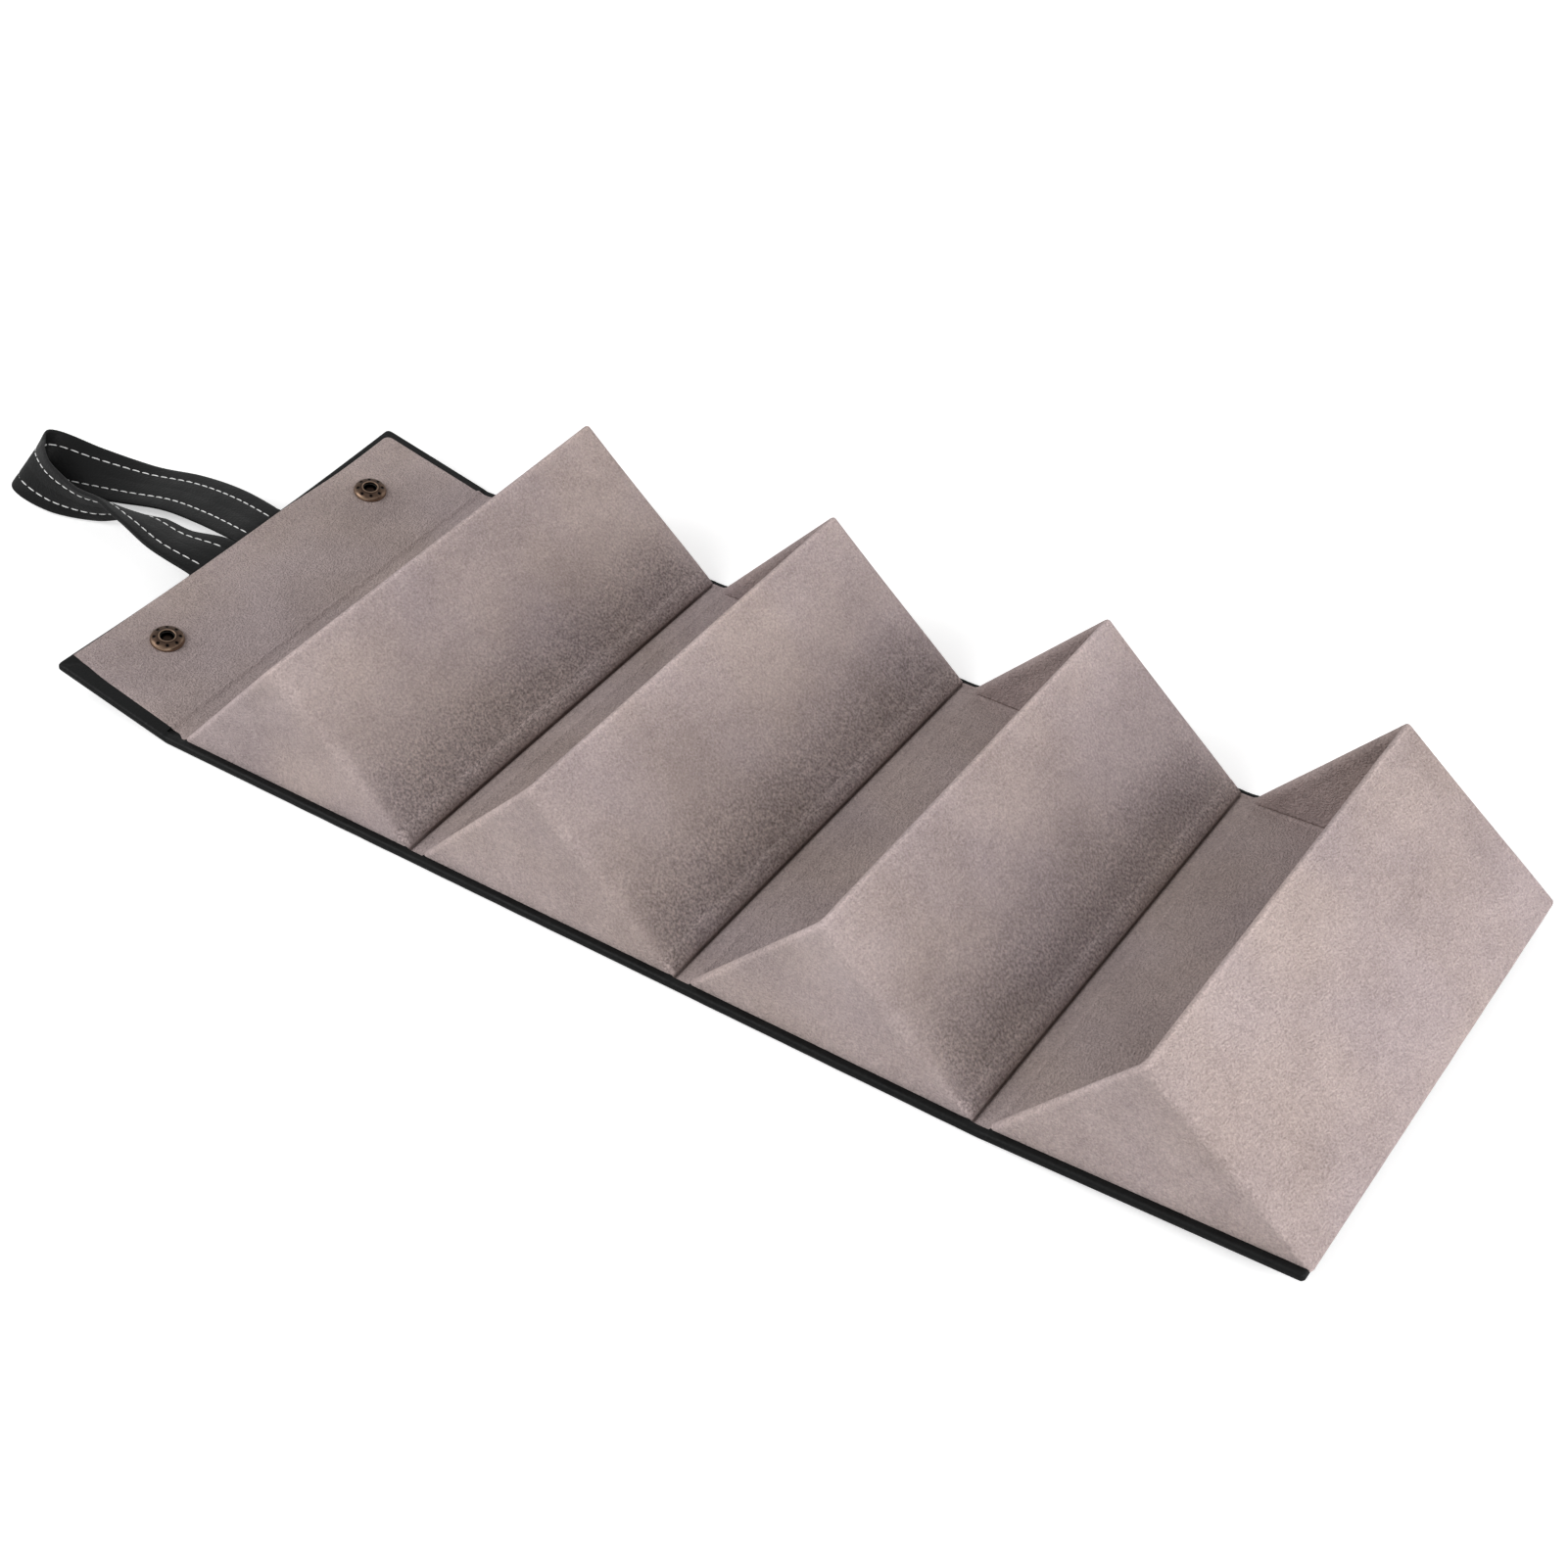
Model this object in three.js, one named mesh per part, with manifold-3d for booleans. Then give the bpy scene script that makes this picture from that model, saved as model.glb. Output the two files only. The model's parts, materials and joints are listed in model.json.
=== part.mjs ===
// Sunglasses storage case: four triangular pockets in a row on one fold-up cover,
// with a snap flap and a stitched strap handle. It lies open on a table.
// Millimetres, +Z up. X runs from the flap to the last pocket, Y across the case.
// The origin is on the table, under the middle of the first pocket.
import * as THREE from 'three';
import { mergeVertices } from 'three/addons/utils/BufferGeometryUtils.js';
import Module from 'manifold-3d';

const wasm = await Module();
wasm.setup();

// Driving dimensions: sheet materials
const leather = 0.7;
const board = 1.4;
const suede = 0.4;
const clearance = 0.3;

// Driving dimensions: pockets
const pocketCount = 4;
const pocketLength = 104;
const pocketWidth = 174;
const ridgeHeight = 52.5;
const ridgeOffset = 50.5;
const wallEdgeRadius = 4;
const hingeGap = 6.8;

// Driving dimensions: cover and flap
const sideBorder = 2.4;
const flapBorder = 2;
const endSetback = 1.2;
const endHem = 5;
const liningRamp = 1.3;
const flapFoldOffset = 7.5;
const flapReach = 52;
const flapAngle = THREE.MathUtils.degToRad(13);
const flapCornerRadius = 2.5;

// Driving dimensions: snaps
const socketInset = 33.4;
const socketReach = 32.8;
const socketRadius = 6.4;
const socketHeight = 3;
const socketBore = 2.5;
const socketLip = 3.4;
const socketRimHeight = 1.3;
const dimpleCount = 8;
const dimpleRadius = 0.45;
const dimpleCircle = 4.9;
const dimpleSegments = 8;
const ringWire = 0.7;
const ringGapAngle = THREE.MathUtils.degToRad(40);
const capRadius = 6.4;
const capHeight = 1.5;
const postRadius = 1.6;
const postRise = 0.75;
const studFlangeRadius = 5.2;
const studFlange = 0.7;
const studHeight = 3.9;
const studNeck = 1.5;
const studHead = 1.9;
const postFlangeRadius = 4.4;
const postFlange = 0.5;

// Driving dimensions: strap
const strapWidth = 24.5;
const strapThickness = 2;
const strapEdgeBevel = 0.6;
const strapAnchorDepth = 16;
const strapSteps = 72;

// How fine round stretches are cut
const edgeSegments = 5;
const latheSegments = 32;
const meshGrid = 1e-4;

// Heights of the layers of a flat panel, from its underside
const boardBottom = leather + clearance;
const boardTop = boardBottom + board;
const liningBottom = boardTop + clearance;
const liningTop = liningBottom + suede;
const hemTop = liningBottom + leather;
const seat = hemTop + clearance;
const foldHeight = 2 * leather;

// Sizes that follow from the driving dimensions
const slab = board + 2 * (clearance + suede);
const coverWidth = pocketWidth + 2 * sideBorder;
const socketSpacing = coverWidth - 2 * socketInset;
const pocketHem = sideBorder + slab + clearance;
const pocketPitch = pocketLength + hingeGap;
const foldSlit = clearance / 2;
const flapBoardStart = liningRamp + 2 * clearance;
const lastCoverEnd = pocketLength - endSetback;
const lastBoardEnd = lastCoverEnd - leather - clearance;

const X = new THREE.Vector3(1, 0, 0);
const Y = new THREE.Vector3(0, 1, 0);
const Z = new THREE.Vector3(0, 0, 1);

// Section of one pocket: the wall's foot and ridge, the slope and its inward normal, and the mouth's slope
const foot = new THREE.Vector3(pocketLength, 0, seat);
const ridge = new THREE.Vector3(ridgeOffset, 0, seat + ridgeHeight);
const wallLength = ridge.distanceTo(foot);
const slope = ridge.clone().sub(foot).normalize();
const inward = new THREE.Vector3(-slope.z, 0, slope.x);
const mouth = new THREE.Vector3(0, 0, seat);
const mouthSlope = ridge.clone().sub(mouth).normalize();
const mouthInward = new THREE.Vector3(mouthSlope.z, 0, -mouthSlope.x);

// The closed flap stops on its snaps, a few degrees short of square, because the snaps hold it off the cover
const socketMouth = liningTop + clearance + socketHeight - foldHeight;
const flapSlack = flapFoldOffset - hingeGap / 2 - foldHeight - studFlange - 2 * clearance;
const flapShort = Math.atan2(socketMouth - flapSlack, socketReach - socketRadius);
const closedSocketHeight = socketMouth * Math.sin(flapShort) + socketReach * Math.cos(flapShort);

// The studs face the sockets when the case is rolled up
const studReach = pocketPitch - closedSocketHeight;

// Open on the table, the last pocket stands on its studs, so it leans up a little from its fold
const studTip = foldHeight + clearance + studHeight - studHead;
const lastTilt = Math.atan2(studTip, studReach)
  + Math.asin((studHead - foldHeight) / Math.hypot(studTip, studReach));

const materials = {
  leather: { color: 0x1b1c1d, roughness: 0.55, metalness: 0 },
  suede: { color: 0x9a8c86, roughness: 0.95, metalness: 0 },
  board: { color: 0x8b857c, roughness: 0.9, metalness: 0 },
  brass: { color: 0x6b5238, roughness: 0.42, metalness: 0.9 },
  steel: { color: 0x8d8f92, roughness: 0.35, metalness: 1 },
};

// A closed mesh with shared vertices, set on a fine grid so that faces meant to meet do, ready to cut or join
function solid(geometry) {
  const bare = geometry.clone();
  bare.deleteAttribute('normal');
  bare.deleteAttribute('uv');
  const places = bare.attributes.position.array;
  places.forEach((place, index) => {
    places[index] = Math.round(place / meshGrid) * meshGrid;
  });
  const merged = mergeVertices(bare, meshGrid);
  const vertProperties = new Float32Array(merged.attributes.position.array);
  const triVerts = new Uint32Array(merged.index.array);
  return new wasm.Manifold(new wasm.Mesh({ numProp: 3, vertProperties, triVerts }));
}

// The geometry of a cut or joined solid
function geometryOf(manifold) {
  const mesh = manifold.getMesh();
  const geometry = new THREE.BufferGeometry();
  geometry.setAttribute('position', new THREE.BufferAttribute(mesh.vertProperties, 3));
  geometry.setIndex(new THREE.BufferAttribute(mesh.triVerts, 1));
  return geometry;
}

// An outline drawn in the plane of two directions and run, centred, along the third
function run(outline, length, along, up, depth) {
  const shape = outline instanceof THREE.Shape ? outline : new THREE.Shape(outline);
  const geometry = new THREE.ExtrudeGeometry(shape, {
    depth: length,
    bevelEnabled: false,
    curveSegments: edgeSegments,
  });
  geometry.translate(0, 0, -length / 2);
  geometry.applyMatrix4(new THREE.Matrix4().makeBasis(along, up, depth));
  return geometry;
}

// A profile of the case's length and height, run across its width
function acrossWidth(outline, width) {
  return run(outline, width, X, Z, Y.clone().negate());
}

// A profile of the case's width and height, run along it between two places
function alongLength(outline, start, end) {
  const geometry = run(outline, end - start, Y, Z, X);
  geometry.translate((start + end) / 2, 0, 0);
  return geometry;
}

// An outline of the case's plan, standing between two heights
function standing(outline, low, high) {
  const geometry = run(outline, high - low, X, Y, Z);
  geometry.translate(0, 0, (low + high) / 2);
  return geometry;
}

function rectangle(x0, y0, x1, y1) {
  return [
    new THREE.Vector2(x0, y0),
    new THREE.Vector2(x1, y0),
    new THREE.Vector2(x1, y1),
    new THREE.Vector2(x0, y1),
  ];
}

function disc(radius, low, high, x, y) {
  const geometry = new THREE.CylinderGeometry(radius, radius, high - low, latheSegments);
  geometry.rotateX(Math.PI / 2);
  geometry.translate(x, y, (low + high) / 2);
  return geometry;
}

function revolve(points) {
  const geometry = new THREE.LatheGeometry(points, latheSegments);
  geometry.rotateX(Math.PI / 2);
  return geometry;
}

function piece(name, geometry, finish) {
  const mesh = new THREE.Mesh(geometry, new THREE.MeshStandardMaterial(materials[finish]));
  mesh.name = name;
  return mesh;
}

// Cover of a panel: a sheet from fold to fold whose sides are turned up and over the board,
// and lie double, without board, on the soft strips
function coverSolid(start, boardStart, boardEnd, end, hem) {
  const half = coverWidth / 2;
  const turned = new THREE.Shape([
    new THREE.Vector2(-half, 0),
    new THREE.Vector2(half, 0),
    new THREE.Vector2(half, hemTop),
    new THREE.Vector2(half - hem, hemTop),
    new THREE.Vector2(half - hem, liningBottom),
    new THREE.Vector2(half - leather, liningBottom),
    new THREE.Vector2(half - leather, leather),
    new THREE.Vector2(leather - half, leather),
    new THREE.Vector2(leather - half, liningBottom),
    new THREE.Vector2(hem - half, liningBottom),
    new THREE.Vector2(hem - half, hemTop),
    new THREE.Vector2(-half, hemTop),
  ]);
  const doubled = new THREE.Shape([
    new THREE.Vector2(-half, 0),
    new THREE.Vector2(half, 0),
    new THREE.Vector2(half, foldHeight),
    new THREE.Vector2(half - hem, foldHeight),
    new THREE.Vector2(half - hem, leather),
    new THREE.Vector2(hem - half, leather),
    new THREE.Vector2(hem - half, foldHeight),
    new THREE.Vector2(-half, foldHeight),
  ]);
  let cover = solid(alongLength(turned, boardStart, boardEnd));
  for (const [from, to] of [[start, boardStart], [boardEnd, end]]) {
    if (to > from) {
      cover = cover.add(solid(alongLength(doubled, from, to)));
    }
  }
  return cover;
}

// The hem that closes the free end of a panel, turned up and over like its sides
function endHemSolid(end, inwardSign, width) {
  const inner = end + inwardSign * leather;
  const profile = [
    new THREE.Vector2(end, 0),
    new THREE.Vector2(inner, 0),
    new THREE.Vector2(inner, liningBottom),
    new THREE.Vector2(end + inwardSign * width, liningBottom),
    new THREE.Vector2(end + inwardSign * width, hemTop),
    new THREE.Vector2(end, hemTop),
  ];
  return solid(acrossWidth(profile, coverWidth));
}

// Lining of a panel: low on the soft strips, ramped up over the edges of the board.
// A side with no soft strip beside it ends flat on the board.
function liningProfile(start, boardStart, boardEnd, end) {
  const low = leather + clearance;
  const bottom = [];
  if (start < boardStart) {
    bottom.push([start, low]);
    bottom.push([boardStart - clearance - liningRamp, low]);
    bottom.push([boardStart - clearance, liningBottom]);
  } else {
    bottom.push([start, liningBottom]);
  }
  if (end > boardEnd) {
    bottom.push([boardEnd + clearance, liningBottom]);
    bottom.push([boardEnd + clearance + liningRamp, low]);
    bottom.push([end, low]);
  } else {
    bottom.push([end, liningBottom]);
  }
  const top = bottom.map(([x, z]) => [x, z + suede]).reverse();
  return [...bottom, ...top].map(([x, z]) => new THREE.Vector2(x, z));
}

// How far up the slope the wall's flat underside starts, at a depth below its outer face
function footAt(depth) {
  return -depth * slope.x / slope.z;
}

// A slab of the wall between two depths below its outer face, cut level at the foot
function wallSlab(near, far, reach, width, below) {
  const drop = below / slope.z;
  const outline = [
    new THREE.Vector2(footAt(near) - drop, near),
    new THREE.Vector2(reach, near),
    new THREE.Vector2(reach, far),
    new THREE.Vector2(footAt(far) - drop, far),
  ];
  const geometry = run(outline, width, slope, inward, Y.clone().negate());
  geometry.translate(foot.x, foot.y, foot.z);
  return geometry;
}

// A bar along the wall with rounded side edges, drawn in from the wall's outside by an inset
function wallRounding(inset) {
  const radius = wallEdgeRadius - inset;
  const centre = pocketWidth / 2 - wallEdgeRadius;
  const inner = Math.asin((wallEdgeRadius - slab) / radius);
  const section = new THREE.Shape();
  section.absarc(-centre, wallEdgeRadius, radius, Math.PI + inner, 1.5 * Math.PI, false);
  section.absarc(centre, wallEdgeRadius, radius, 1.5 * Math.PI, 2 * Math.PI - inner, false);
  section.closePath();
  const bar = run(section, 2 * wallLength, Y, inward, slope);
  bar.translate(foot.x, foot.y, foot.z);
  return bar;
}

// The suede sleeve of a wall: rounded over the ridge and along both side edges, open at the foot
function wallSleeve() {
  const nose = slab / 2;
  const outline = new THREE.Shape();
  outline.moveTo(0, 0);
  outline.lineTo(wallLength - nose, 0);
  outline.absarc(wallLength - nose, nose, nose, -Math.PI / 2, Math.PI / 2, false);
  outline.lineTo(footAt(slab), slab);
  outline.closePath();
  const profile = run(outline, pocketWidth, slope, inward, Y.clone().negate());
  profile.translate(foot.x, foot.y, foot.z);

  const hollow = wallSlab(suede, slab - suede, wallLength - nose, pocketWidth, slab);
  const shell = solid(profile).intersect(solid(wallRounding(0)));
  return shell.subtract(solid(hollow).intersect(solid(wallRounding(suede))));
}

// The board of a wall, cut off square where the side edges start to round
function wallBoard() {
  const skin = suede + clearance;
  const reach = wallLength - slab / 2 - clearance;
  return wallSlab(skin, slab - skin, reach, pocketWidth - 2 * wallEdgeRadius, 0);
}

// Corners of a gusset, held back from the mouth's edge and from the wall, down to a height
function gussetOutline(fromMouth, fromWall, bottom) {
  const mouthPoint = mouth.clone().addScaledVector(mouthInward, fromMouth);
  const wallPoint = foot.clone().addScaledVector(inward, slab + clearance + fromWall);
  const onMouth = (bottom - mouthPoint.z) / mouthSlope.z;
  const onWall = (bottom - wallPoint.z) / slope.z;
  const toApex = wallPoint.clone().sub(mouthPoint).dot(inward) / mouthSlope.dot(inward);
  return [
    mouthPoint.clone().addScaledVector(mouthSlope, onMouth),
    wallPoint.clone().addScaledVector(slope, onWall),
    mouthPoint.clone().addScaledVector(mouthSlope, toApex),
  ].map((corner) => new THREE.Vector2(corner.x, corner.z));
}

// The suede sleeve of a gusset: a triangle with a rounded hem along the mouth, open underneath
function gussetSleeve() {
  const nose = slab / 2;
  const triangle = solid(acrossWidth(gussetOutline(0, 0, seat), slab));
  const section = new THREE.Shape();
  section.moveTo(pocketLength, -nose);
  section.lineTo(pocketLength, nose);
  section.lineTo(nose, nose);
  section.absarc(nose, 0, nose, Math.PI / 2, 1.5 * Math.PI, false);
  section.closePath();
  const hem = run(section, 4 * ridgeHeight, mouthInward, Y, mouthSlope);
  hem.translate(mouth.x, mouth.y, mouth.z);
  const hollow = solid(acrossWidth(gussetOutline(nose, suede, seat - slab), board + 2 * clearance));
  return triangle.intersect(solid(hem)).subtract(hollow);
}

function gussetBoard() {
  const skin = suede + clearance;
  return acrossWidth(gussetOutline(slab / 2 + clearance, skin, seat), board);
}

// Socket of a snap on the lining: rolled rim, sloping flange with dimples, raised lip round its bore
function socketGeometry() {
  const roll = socketRimHeight / 2;
  const wall = socketLip - socketBore;
  const pocketRadius = socketBore + ringWire + clearance;
  const ringSeat = socketHeight - wall - ringWire - 2 * clearance;
  const floorRadius = postRadius + clearance;
  const profile = [new THREE.Vector2(floorRadius, 0), new THREE.Vector2(socketRadius - roll, 0)];
  for (let step = 1; step < edgeSegments; step += 1) {
    const angle = -Math.PI / 2 + (Math.PI * step) / edgeSegments;
    const radius = socketRadius - roll + roll * Math.cos(angle);
    profile.push(new THREE.Vector2(radius, roll + roll * Math.sin(angle)));
  }
  profile.push(new THREE.Vector2(socketRadius - roll, socketRimHeight));
  profile.push(new THREE.Vector2(socketLip + clearance, socketHeight - clearance));
  profile.push(new THREE.Vector2(socketLip, socketHeight));
  profile.push(new THREE.Vector2(socketBore, socketHeight));
  profile.push(new THREE.Vector2(socketBore, socketHeight - wall / 2));
  profile.push(new THREE.Vector2(pocketRadius, socketHeight - wall / 2 - clearance / 2));
  profile.push(new THREE.Vector2(pocketRadius, ringSeat - clearance));
  profile.push(new THREE.Vector2(floorRadius, ringSeat - clearance));
  profile.push(new THREE.Vector2(floorRadius, 0));
  let socket = solid(revolve(profile));

  const fall = (socketHeight - socketRimHeight) / (socketRadius - roll - socketLip);
  const dimpleHeight = socketHeight - (dimpleCircle - socketLip) * fall;
  for (let index = 0; index < dimpleCount; index += 1) {
    const angle = (2 * Math.PI * index) / dimpleCount;
    const dimple = new THREE.SphereGeometry(dimpleRadius, dimpleSegments, dimpleSegments);
    dimple.translate(dimpleCircle * Math.cos(angle), dimpleCircle * Math.sin(angle), dimpleHeight);
    socket = socket.subtract(solid(dimple));
  }
  return geometryOf(socket);
}

// Split wire ring that lies loose in the socket and grips the stud's neck
function ringGeometry() {
  const radius = socketBore + ringWire / 2;
  const wall = socketLip - socketBore;
  const height = socketHeight - wall - ringWire / 2 - clearance;
  const path = new THREE.CatmullRomCurve3(
    Array.from({ length: latheSegments + 1 }, (_, index) => {
      const angle = ringGapAngle / 2 + ((2 * Math.PI - ringGapAngle) * index) / latheSegments;
      return new THREE.Vector3(radius * Math.cos(angle), radius * Math.sin(angle), height);
    }),
  );
  const section = new THREE.Shape();
  section.absarc(0, 0, ringWire / 2, 0, 2 * Math.PI, false);
  return new THREE.ExtrudeGeometry(section, {
    steps: latheSegments,
    extrudePath: path,
    curveSegments: edgeSegments - 1,
    bevelEnabled: false,
  });
}

// Cap on the outside of the flap: a low dome, hanging below z = 0, with a post that runs up into the socket
function capGeometry(postTop) {
  const profile = [new THREE.Vector2(0, -capHeight)];
  for (let step = 1; step <= 2 * edgeSegments; step += 1) {
    const angle = (Math.PI / 2) * (step / (2 * edgeSegments));
    profile.push(new THREE.Vector2(capRadius * Math.sin(angle), -capHeight * Math.cos(angle)));
  }
  profile.push(new THREE.Vector2(capRadius - clearance, 0));
  profile.push(new THREE.Vector2(postRadius, 0));
  profile.push(new THREE.Vector2(postRadius, postTop));
  profile.push(new THREE.Vector2(0, postTop));
  return revolve(profile);
}

// Stud under the last pocket: flange against the cover, neck and rounded head. It points down.
function studGeometry() {
  const headCentre = clearance + studHeight - studHead;
  const profile = [new THREE.Vector2(0, -clearance - studHeight)];
  const neckAngle = Math.PI - Math.asin(studNeck / studHead);
  for (let step = 1; step <= 2 * edgeSegments; step += 1) {
    const angle = neckAngle * (step / (2 * edgeSegments));
    profile.push(new THREE.Vector2(studHead * Math.sin(angle), -headCentre - studHead * Math.cos(angle)));
  }
  profile.push(new THREE.Vector2(studNeck, -clearance - studFlange));
  profile.push(new THREE.Vector2(studFlangeRadius - clearance, -clearance - studFlange));
  profile.push(new THREE.Vector2(studFlangeRadius, -clearance - studFlange / 2));
  profile.push(new THREE.Vector2(studFlangeRadius, -clearance));
  profile.push(new THREE.Vector2(0, -clearance));
  return revolve(profile);
}

// Post that holds a stud: a flat head let into the floor board and a shank through board and cover
function studPostGeometry() {
  const head = boardTop - postFlange;
  const profile = [
    new THREE.Vector2(0, 0),
    new THREE.Vector2(postRadius, 0),
    new THREE.Vector2(postRadius, head),
    new THREE.Vector2(postFlangeRadius, head),
    new THREE.Vector2(postFlangeRadius, boardTop),
    new THREE.Vector2(0, boardTop),
  ];
  return revolve(profile);
}

// Holes for a post, with room round it, cut through everything that it passes
function drill(manifold, x, low, high, radius) {
  let drilled = manifold;
  for (const side of [-1, 1]) {
    const hole = disc(radius + clearance, low, high, x, (side * socketSpacing) / 2);
    drilled = drilled.subtract(solid(hole));
  }
  return drilled;
}

function atSnap(mesh, x, z, side) {
  mesh.position.set(x, (side * socketSpacing) / 2, z);
  return mesh;
}

const sides = [{ name: 'near', sign: -1 }, { name: 'far', sign: 1 }];

// One pocket, flat in its own frame: x from the mouth edge of its floor, z from its underside
function pocket(number) {
  const group = new THREE.Group();
  const first = number === 1;
  const last = number === pocketCount;
  const start = first ? foldSlit - flapFoldOffset : foldSlit - hingeGap / 2;
  const end = last ? lastCoverEnd : pocketLength + hingeGap / 2 - foldSlit;
  const coverBoardEnd = last ? end : pocketLength;
  const boardEnd = last ? lastBoardEnd : pocketLength;
  const liningEnd = last ? end - endHem - clearance : end;
  const studX = studReach - hingeGap / 2;

  let cover = coverSolid(start, 0, coverBoardEnd, end, pocketHem);
  const boardHalf = coverWidth / 2 - leather - clearance;
  let floor = solid(standing(rectangle(0, -boardHalf, boardEnd, boardHalf), boardBottom, boardTop));
  if (last) {
    cover = cover.add(endHemSolid(end, -1, endHem));
    cover = drill(cover, studX, -hemTop, hemTop, postRadius);
    floor = drill(floor, studX, -hemTop, hemTop, postRadius);
    floor = drill(floor, studX, boardTop - postFlange - clearance, hemTop, postFlangeRadius);
  }
  const lining = liningProfile(start, 0, boardEnd, liningEnd);
  const liningWidth = coverWidth - 2 * (pocketHem + clearance);

  group.add(piece(`cover_${number}`, geometryOf(cover), 'leather'));
  group.add(piece(`floor_board_${number}`, geometryOf(floor), 'board'));
  group.add(piece(`floor_lining_${number}`, acrossWidth(lining, liningWidth), 'suede'));
  group.add(piece(`wall_board_${number}`, wallBoard(), 'board'));
  group.add(piece(`wall_sleeve_${number}`, geometryOf(wallSleeve()), 'suede'));
  for (const { name, sign } of sides) {
    const y = sign * (pocketWidth - slab) / 2;
    const stiffener = piece(`gusset_board_${name}_${number}`, gussetBoard(), 'board');
    const sleeve = piece(`gusset_sleeve_${name}_${number}`, geometryOf(gussetSleeve()), 'suede');
    stiffener.position.y = y;
    sleeve.position.y = y;
    group.add(stiffener, sleeve);
  }
  if (last) {
    for (const { name, sign } of sides) {
      group.add(atSnap(piece(`stud_${name}`, studGeometry(), 'brass'), studX, 0, sign));
      group.add(atSnap(piece(`stud_post_${name}`, studPostGeometry(), 'brass'), studX, 0, sign));
    }
  }
  return group;
}

// The flap, flat in its own frame: x from its fold line towards the first pocket, z from its underside
function flap() {
  const group = new THREE.Group();
  const boardHalf = coverWidth / 2 - leather - clearance;
  const boardTip = -flapReach + leather + clearance;
  const notchHalf = strapWidth + foldSlit + clearance;
  const notchEnd = boardTip + strapAnchorDepth;

  let cover = coverSolid(-flapReach, -flapReach, -flapBoardStart, -foldSlit, sideBorder);
  cover = cover.add(endHemSolid(-flapReach, 1, flapBorder));
  const slot = standing(
    rectangle(-flapReach - leather, -notchHalf, boardTip, notchHalf),
    leather,
    liningBottom,
  );
  cover = cover.subtract(solid(slot));
  cover = drill(cover, -socketReach, -hemTop, hemTop, postRadius);

  const boardEdges = rectangle(boardTip, -boardHalf, -flapBoardStart, boardHalf);
  let stiffener = solid(standing(boardEdges, boardBottom, boardTop));
  const notch = standing(rectangle(boardTip - leather, -notchHalf, notchEnd, notchHalf), 0, hemTop);
  stiffener = drill(stiffener.subtract(solid(notch)), -socketReach, -hemTop, hemTop, postRadius);

  const liningHalf = coverWidth / 2 - sideBorder - clearance;
  const liningTip = -flapReach + flapBorder + clearance;
  const liningRun = liningProfile(liningTip, liningTip, -flapBoardStart, -foldSlit);
  const corners = new THREE.Shape();
  corners.moveTo(0, -liningHalf);
  corners.lineTo(0, liningHalf);
  corners.lineTo(liningTip + flapCornerRadius, liningHalf);
  corners.absarc(
    liningTip + flapCornerRadius,
    liningHalf - flapCornerRadius,
    flapCornerRadius,
    Math.PI / 2,
    Math.PI,
    false,
  );
  corners.lineTo(liningTip, flapCornerRadius - liningHalf);
  corners.absarc(
    liningTip + flapCornerRadius,
    flapCornerRadius - liningHalf,
    flapCornerRadius,
    Math.PI,
    1.5 * Math.PI,
    false,
  );
  corners.closePath();
  const plan = solid(standing(corners, 0, 2 * hemTop));
  const lining = drill(
    solid(acrossWidth(liningRun, coverWidth)).intersect(plan),
    -socketReach,
    -hemTop,
    2 * hemTop,
    postRadius,
  );

  group.add(piece('flap_cover', geometryOf(cover), 'leather'));
  group.add(piece('flap_board', geometryOf(stiffener), 'board'));
  group.add(piece('flap_lining', geometryOf(lining), 'suede'));
  for (const { name, sign } of sides) {
    const anchorEdges = rectangle(
      -flapReach,
      sign * foldSlit,
      notchEnd - clearance,
      sign * (foldSlit + strapWidth),
    );
    const socketBase = liningTop + clearance;
    const postTop = socketBase + clearance + postRise;
    group.add(piece(`strap_end_${name}`, standing(anchorEdges, boardBottom, boardTop), 'leather'));
    group.add(atSnap(piece(`socket_${name}`, socketGeometry(), 'brass'), -socketReach, socketBase, sign));
    group.add(atSnap(piece(`socket_ring_${name}`, ringGeometry(), 'steel'), -socketReach, socketBase, sign));
    group.add(atSnap(piece(`cap_${name}`, capGeometry(postTop), 'brass'), -socketReach, -clearance, sign));
  }
  return group;
}

// Route of the strap as it lies: places on its middle line, away from the flap's edge, across the case and
// above the table, each with the direction from the band's lower edge to its upper one
const strapRoute = [
  { away: 23, across: 16.5, height: 11, upper: [0, 1, 0.07] },
  { away: 46, across: 18.5, height: 7.6, upper: [0, 1, 0.06] },
  { away: 69, across: 15.8, height: 4.4, upper: [-0.03, 1, 0.09] },
  { away: 91.5, across: 10, height: 5, upper: [0.02, 0.95, 0.31] },
  { away: 107, across: 3, height: 10, upper: [0.24, 0.73, 0.64] },
  { away: 105, across: -6.8, height: 14, upper: [0.25, 0.61, 0.75] },
  { away: 88.5, across: -11.7, height: 13.3, upper: [0.13, 0.13, 0.98] },
  { away: 69, across: -11.6, height: 12.6, upper: [0.1, -0.35, 0.93] },
  { away: 51.5, across: -9, height: 15.4, upper: [0.15, -0.64, 0.75] },
  { away: 35, across: -10, height: 17, upper: [0.13, -0.86, 0.49] },
  { away: 17.5, across: -12, height: 15.4, upper: [0.06, -0.96, 0.29] },
];

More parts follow.
